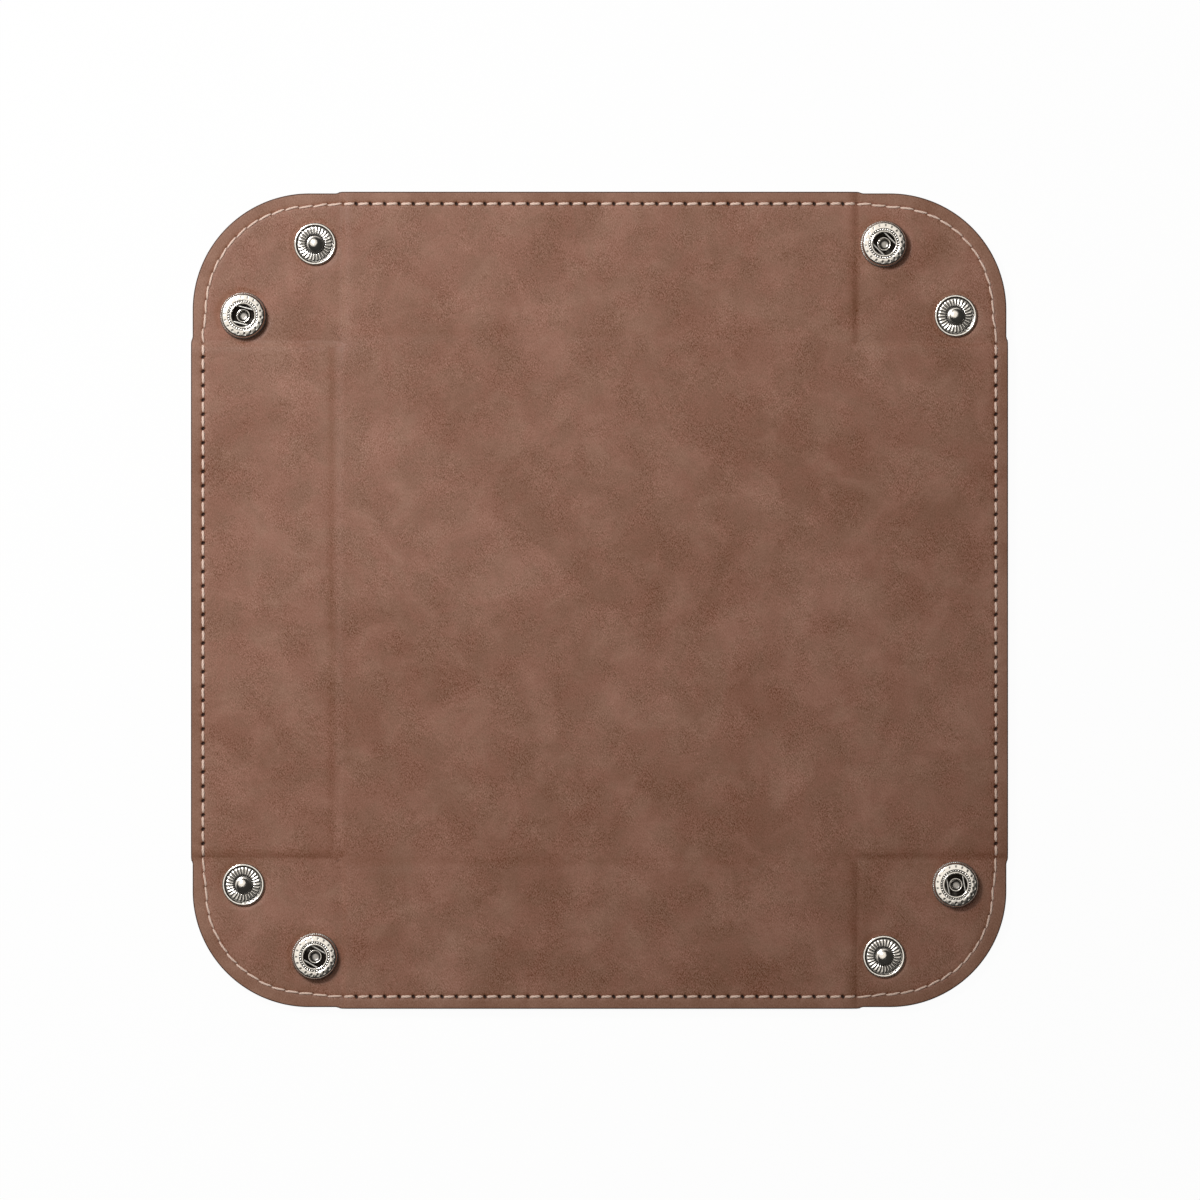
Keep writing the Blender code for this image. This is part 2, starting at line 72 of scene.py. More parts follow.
# %% Read the tray's sizes
joint_at = {joint["name"]: joint["pos_m"] for joint in frame["joints"]}
FOLD = joint_at["north_fold"][1]
CREASE = joint_at["ne_ear_fold"][0]
MID = joint_at["ne_ear_fold"][2]
flap_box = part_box("north_flap_inner_skin")
under_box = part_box("north_flap_outer_skin")
ear_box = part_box("ne_socket_ear_outer_skin")
PANEL_HALF = (flap_box[1].z - under_box[0].z) / 2
EAR_HALF = MID - ear_box[0].z
FLAP_EDGE = flap_box[1].y
EAR_EDGE = ear_box[1].y
CORNER_RADIUS = 29.3 * MM
FOLD_REACH = 1.3 * MM  # half the gap between two boards
CREASE_REACH = 1.1 * MM  # how far an ear bends to either side of its crease
PINCH_REACH = 3.0 * MM  # and to either side of the diagonal
QUARTER_TURN = math.radians(90)
print(f"fold {FOLD:.5f} crease {CREASE:.5f} panel {PANEL_HALF:.5f} ear {EAR_HALF:.5f}")


def middle_of(node):
    low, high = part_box(node)
    return (low + high) / 2


def add_object(name, data):
    added = bpy.data.objects.new(name, data)
    bpy.context.scene.collection.objects.link(added)
    return added


SOCKET_AT = middle_of("ne_socket_shell")
STUD_AT = middle_of("ne_stud")
print("socket", tuple(round(value, 5) for value in SOCKET_AT))

# %% [markdown]
# Shader maths reads like sums when one small class stands for a socket. `Finish.node` adds any
# node: its type, then its settings, then the values or links of its sockets.


# %% A small language for finishes
class Value:
    """An output socket. Sums on it add Math nodes."""

    def __init__(self, finish, socket):
        self.finish, self.socket = finish, socket

    def sum(self, operation, first, second):
        return self.finish.node("Math", {"operation": operation}, {0: first, 1: second})

    def __add__(self, other):
        return self.sum("ADD", self, other)

    def __sub__(self, other):
        return self.sum("SUBTRACT", self, other)

    def __rsub__(self, other):
        return self.sum("SUBTRACT", other, self)

    def __mul__(self, other):
        return self.sum("MULTIPLY", self, other)

    def __abs__(self):
        return self.sum("ABSOLUTE", self, 0)

    __radd__ = __add__
    __rmul__ = __mul__


class Finish:
    """The node tree of one material, or of the world."""

    def __init__(self, owner):
        self.owner = owner
        owner.use_nodes = True
        self.tree = owner.node_tree
        self.tree.nodes.clear()

    def node(self, kind, settings=None, sockets=None, output=0):
        made = self.tree.nodes.new("ShaderNode" + kind)
        for key, setting in (settings or {}).items():
            setattr(made, key, setting)
        for key, value in (sockets or {}).items():
            if isinstance(value, Value):
                self.tree.links.new(value.socket, made.inputs[key])
            else:
                made.inputs[key].default_value = value
        return None if output is None else Value(self, made.outputs[output])

    def rest_point(self):
        """The point of the flat sheet that a face comes from, in millimetres."""
        flat = self.node("UVMap", {"uv_map": "rest"})
        return self.node("VectorMath", {"operation": "SCALE"}, {0: flat, "Scale": 1 / MM})

    def solid_point(self):
        """A point of the piece itself, in millimetres."""
        point = self.node("TexCoord", output="Object")
        return self.node("VectorMath", {"operation": "SCALE"}, {0: point, "Scale": 1 / MM})

    def carried(self, label):
        """A value that the mesh carries on its points."""
        return self.node("Attribute", {"attribute_name": label}, output="Fac")

    def noise(self, point, width, detail=3.0, roughness=0.5, distortion=0.0):
        """Clouds whose lumps are about this many millimetres wide."""
        sockets = {"Vector": point, "Scale": 1 / width, "Detail": detail, "Roughness": roughness}
        return self.node("TexNoise", None, {**sockets, "Distortion": distortion})

    def ramp(self, value, low, high):
        """0 below low, 1 above high, and smooth between them."""
        sockets = {"Value": value, "From Min": low, "From Max": high}
        return self.node("MapRange", {"interpolation_type": "SMOOTHSTEP"}, sockets)

    def blend(self, share, first, second, kind="MIX"):
        """Mixes two colours, each a socket or three numbers."""
        first, second = ((*c, 1) if isinstance(c, tuple) else c for c in (first, second))
        settings = {"data_type": "RGBA", "blend_type": kind}
        return self.node("Mix", settings, {0: share, 6: first, 7: second}, output=2)

    def bump(self, height, depth):
        return self.node("Bump", None, {"Height": height, "Distance": depth, "Strength": 1.0})

    def surface(self, **sockets):
        named = {key.replace("_", " "): value for key, value in sockets.items()}
        shader = self.node("BsdfPrincipled", None, named)
        self.node("OutputMaterial", None, {"Surface": shader}, output=None)
        return self.owner


def new_finish(name):
    return Finish(bpy.data.materials.new(name))


print("finish language ready")

# %% [markdown]
# The leather is a soft sueded sheet, dyed unevenly: pinkish and olive clouds lie over each other,
# with pale wisps where it was stretched, and a fine nap that shows more in some patches than in
# others. All of it is noise, read at the flat sheet's own coordinates, so that the pattern runs on
# across the folds and stays put when they move.


# %% Leather
def make_leather():
    dye = new_finish("sueded_leather")
    flat = dye.rest_point()
    slanted = {"Vector": flat, "Rotation": (0, 0, math.radians(38)), "Scale": (1.0, 0.62, 1.0)}
    grain = dye.node("Mapping", None, slanted)
    clouds = dye.noise(flat, 34, detail=4, roughness=0.55, distortion=0.8)
    patches = dye.noise(flat, 12, detail=5, roughness=0.62, distortion=0.5)
    blotches = dye.noise(flat, 6.5, detail=4, roughness=0.6)
    wisps = dye.noise(flat, 21, detail=5, roughness=0.62, distortion=1.6)
    nap = dye.noise(grain, 0.72, detail=2, roughness=0.6, distortion=0.6)
    specks = dye.noise(grain, 0.27, detail=1, roughness=0.5)
    band = dye.carried("band")
    napped = dye.ramp(dye.noise(flat, 9, detail=3, roughness=0.6), 0.38, 0.62) * (1 - band)
    share = wisps * 0.5 + blotches * 0.5 + (nap - 0.5) * 0.25 - band * 0.12
    tint = dye.blend(dye.ramp(share, 0.40, 0.60), OLIVE_DYE, PINK_DYE)
    wisp = 1 - dye.ramp(abs(wisps - 0.5), 0.0, 0.05)
    level = 0.90 + dye.ramp(patches, 0.38, 0.74) * 0.33 + (clouds - 0.5) * 0.9
    level = level + wisp * dye.ramp(patches, 0.42, 0.6) * 0.08 - napped * 0.06
    level = level + (nap - 0.5) * (0.2 + napped * 0.5) + (specks - 0.5) * (1.1 + napped * 1.5)
    shift = level - 1.0
    shade = dye.node(
        "CombineColor", None, {0: 1.0 + shift * 0.70, 1: 1.0 + shift * 1.06, 2: 1.0 + shift * 1.45}
    )
    colour = dye.blend(1.0, tint, shade, "MULTIPLY")
    # The needle holes are painted nearly black: painted shade inside them.
    dark = dye.carried("dark")
    colour = dye.blend(dark, colour, PAINTED_HOLE_SHADE)
    height = nap * (0.25 + napped * 0.4) + specks * 0.5
    return dye.surface(
        Base_Color=colour,
        Roughness=0.56 + (patches - 0.5) * 0.25,
        Normal=dye.bump(height, NAP_DEPTH),
        Specular_IOR_Level=0.45,
        Sheen_Weight=0.05,
        Sheen_Roughness=0.5,
        Sheen_Tint=(1.0, 0.80, 0.68, 1.0),
    )


PINK_DYE = (0.2722, 0.1168, 0.0730)
OLIVE_DYE = (0.2508, 0.1166, 0.0706)
# The colour of the painted shade inside the needle holes
PAINTED_HOLE_SHADE = (0.020, 0.006, 0.003)
NAP_DEPTH = 0.00007
leather = make_leather()
print("leather nodes:", len(leather.node_tree.nodes))

# %% [markdown]
# A cut edge shows the sheet from the side: darker, drier and streaked along the cut. The stiffening
# board between the skins is grey pulp with small fibres.


# %% Cut edge and board
def make_cut_edge():
    cut = new_finish("cut_leather_edge")
    flat = cut.rest_point()
    fibres = cut.noise(flat, 0.25, detail=3, roughness=0.65)
    streaks = cut.noise(flat, 1.6, detail=2)
    colour = cut.blend(cut.ramp(fibres, 0.3, 0.7), EDGE_DARK, EDGE_PALE)
    colour = cut.blend(streaks * 0.5, colour, EDGE_DARK)
    return cut.surface(
        Base_Color=colour,
        Roughness=0.8 + (fibres - 0.5) * 0.2,
        Normal=cut.bump(fibres, 0.00006),
        Specular_IOR_Level=0.2,
    )


def make_board():
    pulp = new_finish("grey_board")
    point = pulp.solid_point()
    fibres = pulp.noise(point, 0.4, detail=4, roughness=0.7)
    flecks = pulp.ramp(pulp.noise(point, 0.9, detail=2), 0.6, 0.68)
    colour = pulp.blend(fibres, PULP_DARK, PULP_PALE)
    colour = pulp.blend(flecks * 0.5, colour, PULP_FLECK)
    return pulp.surface(Base_Color=colour, Roughness=0.9, Normal=pulp.bump(fibres, 0.00005))


EDGE_DARK = (0.060, 0.030, 0.022)
EDGE_PALE = (0.17, 0.095, 0.068)
PULP_DARK = (0.20, 0.17, 0.14)
PULP_PALE = (0.36, 0.32, 0.27)
PULP_FLECK = (0.10, 0.08, 0.06)
cut_edge = make_cut_edge()
board = make_board()
for node in frame["nodes"]:
    if node.endswith("_board"):
        frame["nodes"][node].data.materials.clear()
        frame["nodes"][node].data.materials.append(board)
print("boards finished:", sum(node.endswith("_board") for node in frame["nodes"]))

# %% [markdown]
# Nickel plating is a yellowish white mirror, a little worn and hazy. Dirt and painted shade darken
# it between its ribs, beads and teeth and in its mouths and bores, so the mesh carries a value
# named dark, and the finish follows it. The spring is drawn steel wire, and the thread is a matt
# cream twist.


# %% Metal and thread
def make_nickel(name, tone, roughness):
    plate = new_finish(name)
    point = plate.solid_point()
    haze = plate.noise(point, 1.7, detail=4, roughness=0.6)
    pits = plate.noise(point, 0.22, detail=2)
    dark = plate.carried("dark")
    # Painted shade, with some dirt: the nickel darkens and roughens where the mesh's dark value
    # says.
    grime_and_shade = dark * (0.75 + haze * 0.5)
    colour = plate.blend(grime_and_shade, tone, GRIME_AND_SHADE)
    return plate.surface(
        Base_Color=colour,
        Metallic=1.0,
        Roughness=roughness + (haze - 0.5) * 0.16 + grime_and_shade * 0.2,
        Normal=plate.bump(haze * 0.8 + pits * 0.2, 0.00007),
    )


def make_thread():
    twist = new_finish("sewing_thread")
    point = twist.solid_point()
    fuzz = twist.noise(point, 0.16, detail=2)
    stains = twist.noise(point, 6, detail=2)
    dark = twist.carried("dark")
    colour = twist.blend(dark, THREAD_CREAM, THREAD_SHADOW)
    stained = twist.ramp(stains, 0.45, 0.75) * 0.25
    colour = twist.blend(stained, colour, THREAD_STAIN)
    return twist.surface(
        Base_Color=colour,
        Roughness=0.85,
        Normal=twist.bump(fuzz, 0.00004),
        Sheen_Weight=0.2,
    )


# The colour of dirt and painted shade in the metal's hollows
GRIME_AND_SHADE = (0.016, 0.013, 0.011)
THREAD_CREAM = (0.88, 0.67, 0.57)
THREAD_SHADOW = (0.34, 0.20, 0.15)
THREAD_STAIN = (0.55, 0.36, 0.26)
NICKEL_TONE = (0.86, 0.83, 0.79)
WIRE_TONE = (0.90, 0.88, 0.84)
nickel = make_nickel("nickel_plate", NICKEL_TONE, roughness=0.15)
steel = make_nickel("spring_wire", WIRE_TONE, roughness=0.42)
thread = make_thread()
print("metals and thread ready")

# %% [markdown]
# Every leather piece is a grid of points on the flat sheet, with one face above and one below. The
# thickness comes from one function of place: thick where a board lies inside, thin at the ears, and
# pressed in along every fold. One function for the whole sheet means that neighbours meet without
# a step. The fold at the left is creased hardest, as on the worn original.


# %% How thick the sheet is, and how it lies
FOLD_DIPS = {"north": 0.05 * MM, "east": 0.02 * MM, "south": 0.07 * MM, "west": 0.20 * MM}
DIP_REACH = 2.3 * MM
CREASE_DIP = 0.05 * MM
LIP = 1.5 * MM


def smooth(share):
    share = np.clip(share, 0, 1)
    return share * share * (3 - 2 * share)


def bump_shape(share):
    return np.where(np.abs(share) < 1, (1 + np.cos(np.pi * np.clip(share, -1, 1))) / 2, 0)


def turned(x, y, quarters):
    """Points of the north quarter, carried clockwise round the sheet."""
    for _ in range(quarters):
        x, y = y, -x
    return x, y


def half_thickness(x, y):
    far = np.maximum(np.abs(x), np.abs(y))
    near = np.minimum(np.abs(x), np.abs(y))
    ear = smooth((near - CREASE + 1.4 * LIP) / (2 * LIP))
    upright = np.where(y > 0, FOLD_DIPS["north"], FOLD_DIPS["south"])
    level = np.where(x > 0, FOLD_DIPS["east"], FOLD_DIPS["west"])
    dip = np.where(np.abs(y) > np.abs(x), upright, level)
    folded = dip * bump_shape((far - FOLD) / DIP_REACH) * (1 - ear)
    creased = CREASE_DIP * bump_shape((near - CREASE) / CREASE_REACH) * smooth((far - FOLD) / MM)
    return PANEL_HALF + (EAR_HALF - PANEL_HALF) * ear - folded - creased


SOCKET_BED = 5.95 * MM
STUD_BED = 5.35 * MM
BED_DEPTHS = (0.25 * MM, 0.05 * MM)  # above and below the sheet
SNAPS_AT = []
for quarters in range(4):
    for place, reach in ((SOCKET_AT, SOCKET_BED), (STUD_AT, STUD_BED)):
        SNAPS_AT.append((*turned(place.x, place.y, quarters), reach))


def lie(x, y):
    """The soft waves of the sheet, which is held flat round each snap."""
    waves = 0.10 * np.sin(x / 0.0213 + 1.3) * np.sin(y / 0.0187 + 0.4)
    waves = waves + 0.06 * np.sin((x + 0.7 * y) / 0.0119 + 2.1)
    waves = waves + 0.04 * np.sin((y - 0.5 * x) / 0.0083)
    held = np.ones_like(x)
    for snap_x, snap_y, reach in SNAPS_AT:
        held = held * smooth((np.hypot(x - snap_x, y - snap_y) - reach) / (5 * MM))
    loose = 0.35 + 0.65 * smooth((np.minimum(np.abs(x), np.abs(y)) - CREASE) / (4 * MM))
    return MID + waves * held * loose * MM


def snap_beds(x, y, depth):
    """How far the snaps press into the leather."""
    pressed = np.zeros_like(x)
    for snap_x, snap_y, reach in SNAPS_AT:
        away = np.hypot(x - snap_x, y - snap_y) - reach
        pressed = np.maximum(pressed, depth * (1 - smooth(away / (1.3 * MM))))
    return pressed


print("thickness in the middle:", 2 * float(half_thickness(np.zeros(1), np.zeros(1))[0]))

# %% [markdown]
# The seam runs three millimetres in from the edge, along a shallow trough. On the real tray each
# needle hole is a dark slanted slot. The grid has more columns at each hole, and a second value on
# the points, dark, tells the leather where to paint the shade inside the holes nearly black.

# %% The seam's place
SEAM = FLAP_EDGE - 3.05 * MM
CENTRE = EAR_EDGE - CORNER_RADIUS
SEAM_RADIUS = SEAM - CENTRE
FLAP_STITCHES = 36
EAR_STITCHES = 16
EAR_RUN = 2 * (CENTRE - CREASE) + SEAM_RADIUS * math.pi / 2
FLAP_PITCH = 2 * CREASE / FLAP_STITCHES
EAR_PITCH = EAR_RUN / EAR_STITCHES
TROUGH_WIDTH = 0.5 * MM
TROUGH_DEPTH = 0.14 * MM
HOLE_LENGTH = 0.50 * MM
HOLE_WIDTH = 0.36 * MM
HOLE_SLANT = math.radians(-38)
HOLE_DEPTH = 0.5 * MM
EAR_SEAM_SHIFT = 0.75 * MM
print(f"pitch on a flap {FLAP_PITCH / MM:.3f} mm, round an ear {EAR_PITCH / MM:.3f} mm")


def seam_relief(along, across, holes, strength):
    """How deep the seam's trough and holes are, and how much painted shade darkens the holes."""
    deep = TROUGH_DEPTH * np.exp(-((across / TROUGH_WIDTH) ** 2))
    dark = np.zeros_like(along)
    for hole in holes:
        step = along - hole
        long = step * math.cos(HOLE_SLANT) - across * math.sin(HOLE_SLANT)
        wide = step * math.sin(HOLE_SLANT) + across * math.cos(HOLE_SLANT)
        spot = np.exp(-((wide / HOLE_LENGTH) ** 2) - (long / HOLE_WIDTH) ** 2)
        deep = deep + HOLE_DEPTH * strength * spot
        dark = np.maximum(dark, strength * smooth((spot - 0.12) / 0.4))
    return deep, dark


def seam_shift(near):
    """The ears' seam runs further in from the edge than the flaps'."""
    return EAR_SEAM_SHIFT * smooth((near - CREASE - 1.0 * MM) / (9 * MM))


def edge_of(near):
    """How far out the sheet's edge lies: the ears are cut a little shorter than the flaps."""
    return FLAP_EDGE + (EAR_EDGE - FLAP_EDGE) * smooth((near - CREASE) / (1.6 * MM))


# %% [markdown]
# A leather solid is built from three grids: the upper face, the rim and the lower face. The rim's
# profile rounds both cut skins and leaves a slit between them, where a flap's board shows. The
# other three sides are plain walls, hidden against the next piece.

# %% Build one piece of lined leather
BEVEL = 0.28 * MM
EAR_TURN = math.radians(45)
# Outwards and down from the upper face's edge, in millimetres
RIM = ((0.16, 0.03), (0.25, 0.11), (0.28, 0.25), (0.28, 0.58), (0.24, 0.72), (0.03, 0.80))


def new_piece(name, points, faces, finishes, dark=None, band=None):
    """A mesh object in the row frame, whose points may carry a dark and a band value."""
    mesh = bpy.data.meshes.new(name)
    mesh.from_pydata([tuple(point) for point in points], [], faces)
    for finish in finishes:
        mesh.materials.append(finish)
    for label, shares in (("dark", dark), ("band", band)):
        if shares is not None:
            values = mesh.attributes.new(label, "FLOAT", "POINT")
            values.data.foreach_set("value", np.asarray(shares, np.float32))
    return add_object(name, mesh)


def finish_solid(piece, sharp_deg):
    """Welds, turns the faces outwards, and keeps hard edges hard."""
    bm = bmesh.new()
    bm.from_mesh(piece.data)
    bmesh.ops.remove_doubles(bm, verts=bm.verts, dist=0.002 * MM)
    bmesh.ops.dissolve_degenerate(bm, edges=bm.edges, dist=0.0005 * MM)
    bmesh.ops.recalc_face_normals(bm, faces=bm.faces)
    if bm.calc_volume(signed=True) < 0:
        bmesh.ops.reverse_faces(bm, faces=bm.faces)
    for face in bm.faces:
        face.smooth = True
    for edge in bm.edges:
        edge.smooth = edge.calc_face_angle(0) < math.radians(sharp_deg)
    bm.to_mesh(piece.data)
    bm.free()
    return piece


def rest_map(piece, flat):
    """Writes each corner's place on the flat sheet. It runs before points are welded."""
    layer = piece.data.uv_layers.new(name="rest")
    corners = np.empty(len(piece.data.loops), np.int32)
    piece.data.loops.foreach_get("vertex_index", corners)
    layer.data.foreach_set("uv", flat[corners].astype(np.float32).ravel())


def quads_of(index):
    """The faces of a grid of point numbers."""
    corners = [index[:-1, :-1], index[:-1, 1:], index[1:, 1:], index[1:, :-1]]
    return np.dstack(corners).reshape(-1, 4)


def lined_leather(name, x, y, out, top_extra, low_extra, marks, quarters, nosed=False):
    """x and y are grids in the north quarter: rows run from the rim inwards, columns along it. The
    first row lies a bevel's width inside the edge, and out points out of the sheet there."""
    rows = len(x)
    world = turned(x, y, quarters)
    middle, half = lie(*world), half_thickness(*world)
    layers = [np.dstack([x, y, middle + half - top_extra])[::-1]]
    for side in (1, -1):
        for reach, down in RIM if side > 0 else RIM[::-1]:
            level = middle[0] + side * (half[0] - down * MM)
            rim_x, rim_y = x[0] + out[0] * reach * MM, y[0] + out[1] * reach * MM
            layers.append(np.dstack([rim_x, rim_y, level]))
    layers.append(np.dstack([x, y, middle - half + low_extra]))
    grid = np.concatenate(layers)
    flat = grid[..., :2].copy()
    flat[rows : rows + 2 * len(RIM)] += grid[rows : rows + 2 * len(RIM), :, 2:]
    rim = np.zeros((2 * len(RIM), x.shape[1]))
    dark, band = marks
    marks = [np.concatenate([dark[::-1], rim, dark]), np.concatenate([band[::-1], rim + 1, band])]
    if nosed:
        rise = grid[:, -1, 2] - MID
        for step in (1, 2, 3):
            turn = EAR_TURN * step / 3
            nose, rest = grid[:, -1].copy(), flat[:, -1].copy()
            nose[:, 1] = CREASE - np.maximum(rise, 0) * math.sin(turn)
            nose[:, 2] = MID + np.where(rise > 0, rise * math.cos(turn), rise)
            rest[:, 1] -= np.maximum(rise, 0) * turn
            grid = np.concatenate([grid, nose[:, None]], axis=1)
            flat = np.concatenate([flat, rest[:, None]], axis=1)
            marks = [np.concatenate([mark, mark[:, -1:]], axis=1) for mark in marks]
        below = MID - grid[..., 2]
        cut = CREASE + below * math.tan(EAR_TURN)
        grid[..., 1] = np.where(below > 0, np.maximum(grid[..., 1], cut), grid[..., 1])
    grid[..., 0], grid[..., 1] = turned(grid[..., 0].copy(), grid[..., 1].copy(), quarters)
    flat_x, flat_y = turned(flat[..., 0], flat[..., 1], quarters)
    count, columns = grid.shape[:2]
    index = np.arange(count * columns).reshape(count, columns)
    faces = quads_of(index).tolist()
    last = index[count - 1]
    for column in (0, columns - 1):
        for row in range(rows - 1):
            above, below = index[row : row + 2, column]
            faces.append([above, below, *index[count - 2 - row : count - row, column]])
        faces.append([int(index[row, column]) for row in range(rows - 1, count - rows + 1)])
    for column in range(columns - 1):
        faces.append([index[0, column], index[0, column + 1], last[column + 1], last[column]])
    piece = new_piece(
        name, grid.reshape(-1, 3), faces, [leather, cut_edge], *[mark.ravel() for mark in marks]
    )
    rest_map(piece, np.dstack([flat_x, flat_y]).reshape(-1, 2))
    finishes = np.zeros(len(faces), np.int32)
    finishes[(rows - 1) * (columns - 1) : (rows + 2 * len(RIM) - 1) * (columns - 1)] = 1
    piece.data.polygons.foreach_set("material_index", finishes)
    return finish_solid(piece, 50)


print("rim points:", 2 * len(RIM))

# %% [markdown]
# A flap reaches from the floor's board to the sheet's edge. Its inner end lies over the fold, where
# the real flap bends, and the rows run close together there.


# %% Flaps
def spread(start, end, step):
    """Evenly spaced values from start to end, about a step apart."""
    count = max(2, round(abs(end - start) / step) + 1)
    return np.linspace(start, end, count)


NEAR_HOLE = tuple(step * MM for step in (-0.5, -0.3, -0.13, 0, 0.13, 0.3, 0.5, 1.2, 2.2))
NEAR_SEAM = np.array([0.8, 0.55, 0.38, 0.24, 0.12, 0, -0.12, -0.24, -0.38, -0.55, -0.8]) * MM


def seam_rows(edge, shift, inner):
    """Row places, measured outwards from SEAM: rim to seam, close to the seam, and inwards."""
    near = NEAR_SEAM[:, None] - shift[None, :]
    first = (edge - SEAM - BEVEL)[None, :]
    outer = first + (near[:1] - first) * np.array([0, 0.2, 0.45, 0.75])[:, None]
    ease = np.linspace(1, 0, len(inner))[:, None]
    return np.concatenate([outer, near, np.asarray(inner)[:, None] - shift[None, :] * ease])


def place_at(quarters, x, y, z=0.0):
    return Vector((*turned(x, y, quarters), z))


ROWS_OVER_FOLD = np.array([2.3, 1.8, 1.3, 0.9, 0.6, 0.3, 0, -0.3, -0.6, -0.9, -1.3]) * MM
for quarters, side in enumerate(SIDES):
    start, end = -CREASE, CREASE - CREASE_REACH
    holes = start + np.arange(FLAP_STITCHES + 1) * FLAP_PITCH
    columns = np.add.outer(holes, NEAR_HOLE).ravel()  # closer together at each hole
    columns = np.concatenate([[start], columns[(columns > start) & (columns < end)], [end]])
    even = spread(SEAM - 1.4 * MM, FOLD + 3.2 * MM, 2.4 * MM)
    inner = np.concatenate([even, FOLD + ROWS_OVER_FOLD]) - SEAM
    rows = seam_rows(edge_of(np.abs(columns)), 0 * columns, inner)
    x = np.repeat(columns[None, :], len(rows), 0)
    deep, dark = seam_relief(x, rows, holes, 1.0)
    out = (np.zeros(len(columns)), np.ones(len(columns)))
    marks = (dark, smooth((rows - 0.3 * MM) / (0.5 * MM)))
    flap = lined_leather(f"{side}_flap_leather", x, SEAM + rows, out, deep, deep, marks, quarters)
    fold_start = place_at(quarters, 0, FOLD - FOLD_REACH)
    fold_end = place_at(quarters, 0, FOLD + FOLD_REACH)
    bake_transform(flap)
    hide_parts(f"{side}_flap_inner_skin", f"{side}_flap_outer_skin")
    print(flap.name, "faces:", len(flap.data.polygons))

# %% [markdown]
# Each rounded corner is one soft ear in two halves, one with the socket and one with the stud. On
# the real tray the stud's half is pinched over along the diagonal. Rows run parallel to the rounded
# edge, and the last few close in on the inner corner, where all the folds meet.

# %% Ears
EAR_ROWS = np.concatenate([spread(-1.4, -21.0, 0.62), [-22.35]]) * MM
NEAR_EAR_HOLE = tuple(step * MM for step in (-0.5, -0.25, 0, 0.25, 0.5, 0.95, 1.5, 2.1, 2.7))
CLOSING = (0.8, 0.6, 0.4, 0.2, 0.0)
DIAGONAL = PINCH_REACH * math.sqrt(2)
POST_REACH = 1.5 * MM  # the ears' innermost points stand half of this beyond the crease
SEAM_TURN = EAR_TURN + math.asin(PINCH_REACH / SEAM_RADIUS)
SOCKET_BEND = SEAM_RADIUS * (QUARTER_TURN - SEAM_TURN)
STUD_BEND = SEAM_RADIUS * SEAM_TURN
HALFWAY = CENTRE - CREASE + CREASE_REACH + SOCKET_BEND  # the seam's run on the socket half
EAR_HOLE_STRENGTH = 0.3


def pinch_turn(radius):
    """The angle at which an arc about the corner's centre meets the pinch's edge."""
    return EAR_TURN + np.arcsin(np.minimum(PINCH_REACH / radius, 1))


def ear_place(run, row, mirrored):
    """Where a distance along the seam, measured from the socket's crease or the pinch, lands."""
    radius = SEAM_RADIUS + row
    end = pinch_turn(radius)
    if mirrored:
        turn = end * (1 - np.minimum(run, STUD_BEND) / STUD_BEND)
        beyond = np.maximum(run - STUD_BEND, 0)
        return CENTRE + radius * np.cos(turn), CENTRE + radius * np.sin(turn) - beyond, turn
    straight = CENTRE - (CREASE - CREASE_REACH)
    turn = QUARTER_TURN - (QUARTER_TURN - end) * np.maximum(run - straight, 0) / SOCKET_BEND
    before = np.maximum(straight - run, 0)
    return CENTRE + radius * np.cos(turn) - before, CENTRE + radius * np.sin(turn), turn


def corner_targets(x, mirrored):
    """Where the innermost row's columns end up, once the rows have closed in."""
    low = FOLD - FOLD_REACH
    if not mirrored:
        return x, np.where(x <= CREASE + 0.5001 * POST_REACH, low, x + DIAGONAL)
    post = CREASE + 0.5 * POST_REACH
    stops = [(post, post + DIAGONAL), (post, low), (low, low), (low, CREASE)]
    count = len(x)
    marks = [0, round(count * 0.5), round(count * 0.8), count - 1]
    return [np.interp(np.arange(count), marks, places) for places in zip(*stops)]


def ear_half(name, mirrored, quarters):
    if mirrored:
        first_hole = -(CENTRE - CREASE + SOCKET_BEND)
        length = STUD_BEND + (CENTRE - CREASE)
    else:
        first_hole, length = CREASE_REACH, HALFWAY
    holes = first_hole + np.arange(EAR_STITCHES + 1) * EAR_PITCH
    columns = np.add.outer(holes, NEAR_EAR_HOLE).ravel()
    columns = columns[(columns > 0.05 * MM) & (columns < length - 0.05 * MM)]
    if not mirrored:
        post = CREASE_REACH + 0.5 * POST_REACH
        columns = np.sort(np.concatenate([columns, [post, post * 1.001]]))
    columns = np.concatenate([[0], columns, [length]])
    seam_x, seam_y, _ = ear_place(columns, 0 * columns, mirrored)
    near = np.minimum(seam_x, seam_y)
    shift = seam_shift(near)
    rows = seam_rows(edge_of(near), shift, EAR_ROWS)
    run = np.repeat(columns[None, :], len(rows), 0)
    x, y, turn = ear_place(run, rows, mirrored)
    deep, dark = seam_relief(run, rows + shift, holes, EAR_HOLE_STRENGTH)
    inner_x, inner_y = x[-1], y[-1]
    target_x, target_y = corner_targets(inner_x, mirrored)
    for share in CLOSING:
        x = np.vstack([x, target_x + share * (inner_x - target_x)])
        y = np.vstack([y, target_y + share * (inner_y - target_y)])
    flat = np.zeros((len(CLOSING), len(columns)))
    band = smooth((rows + shift - 0.3 * MM) / (0.5 * MM))
    deep, dark, band = (np.vstack([part, flat]) for part in (deep, dark, band))
    world = turned(x, y, quarters)
    top, low = (deep + snap_beds(*world, depth) for depth in BED_DEPTHS)
    out = (np.cos(turn[0]), np.sin(turn[0]))
    return lined_leather(name, x, y, out, top, low, (dark, band), quarters, nosed=mirrored)


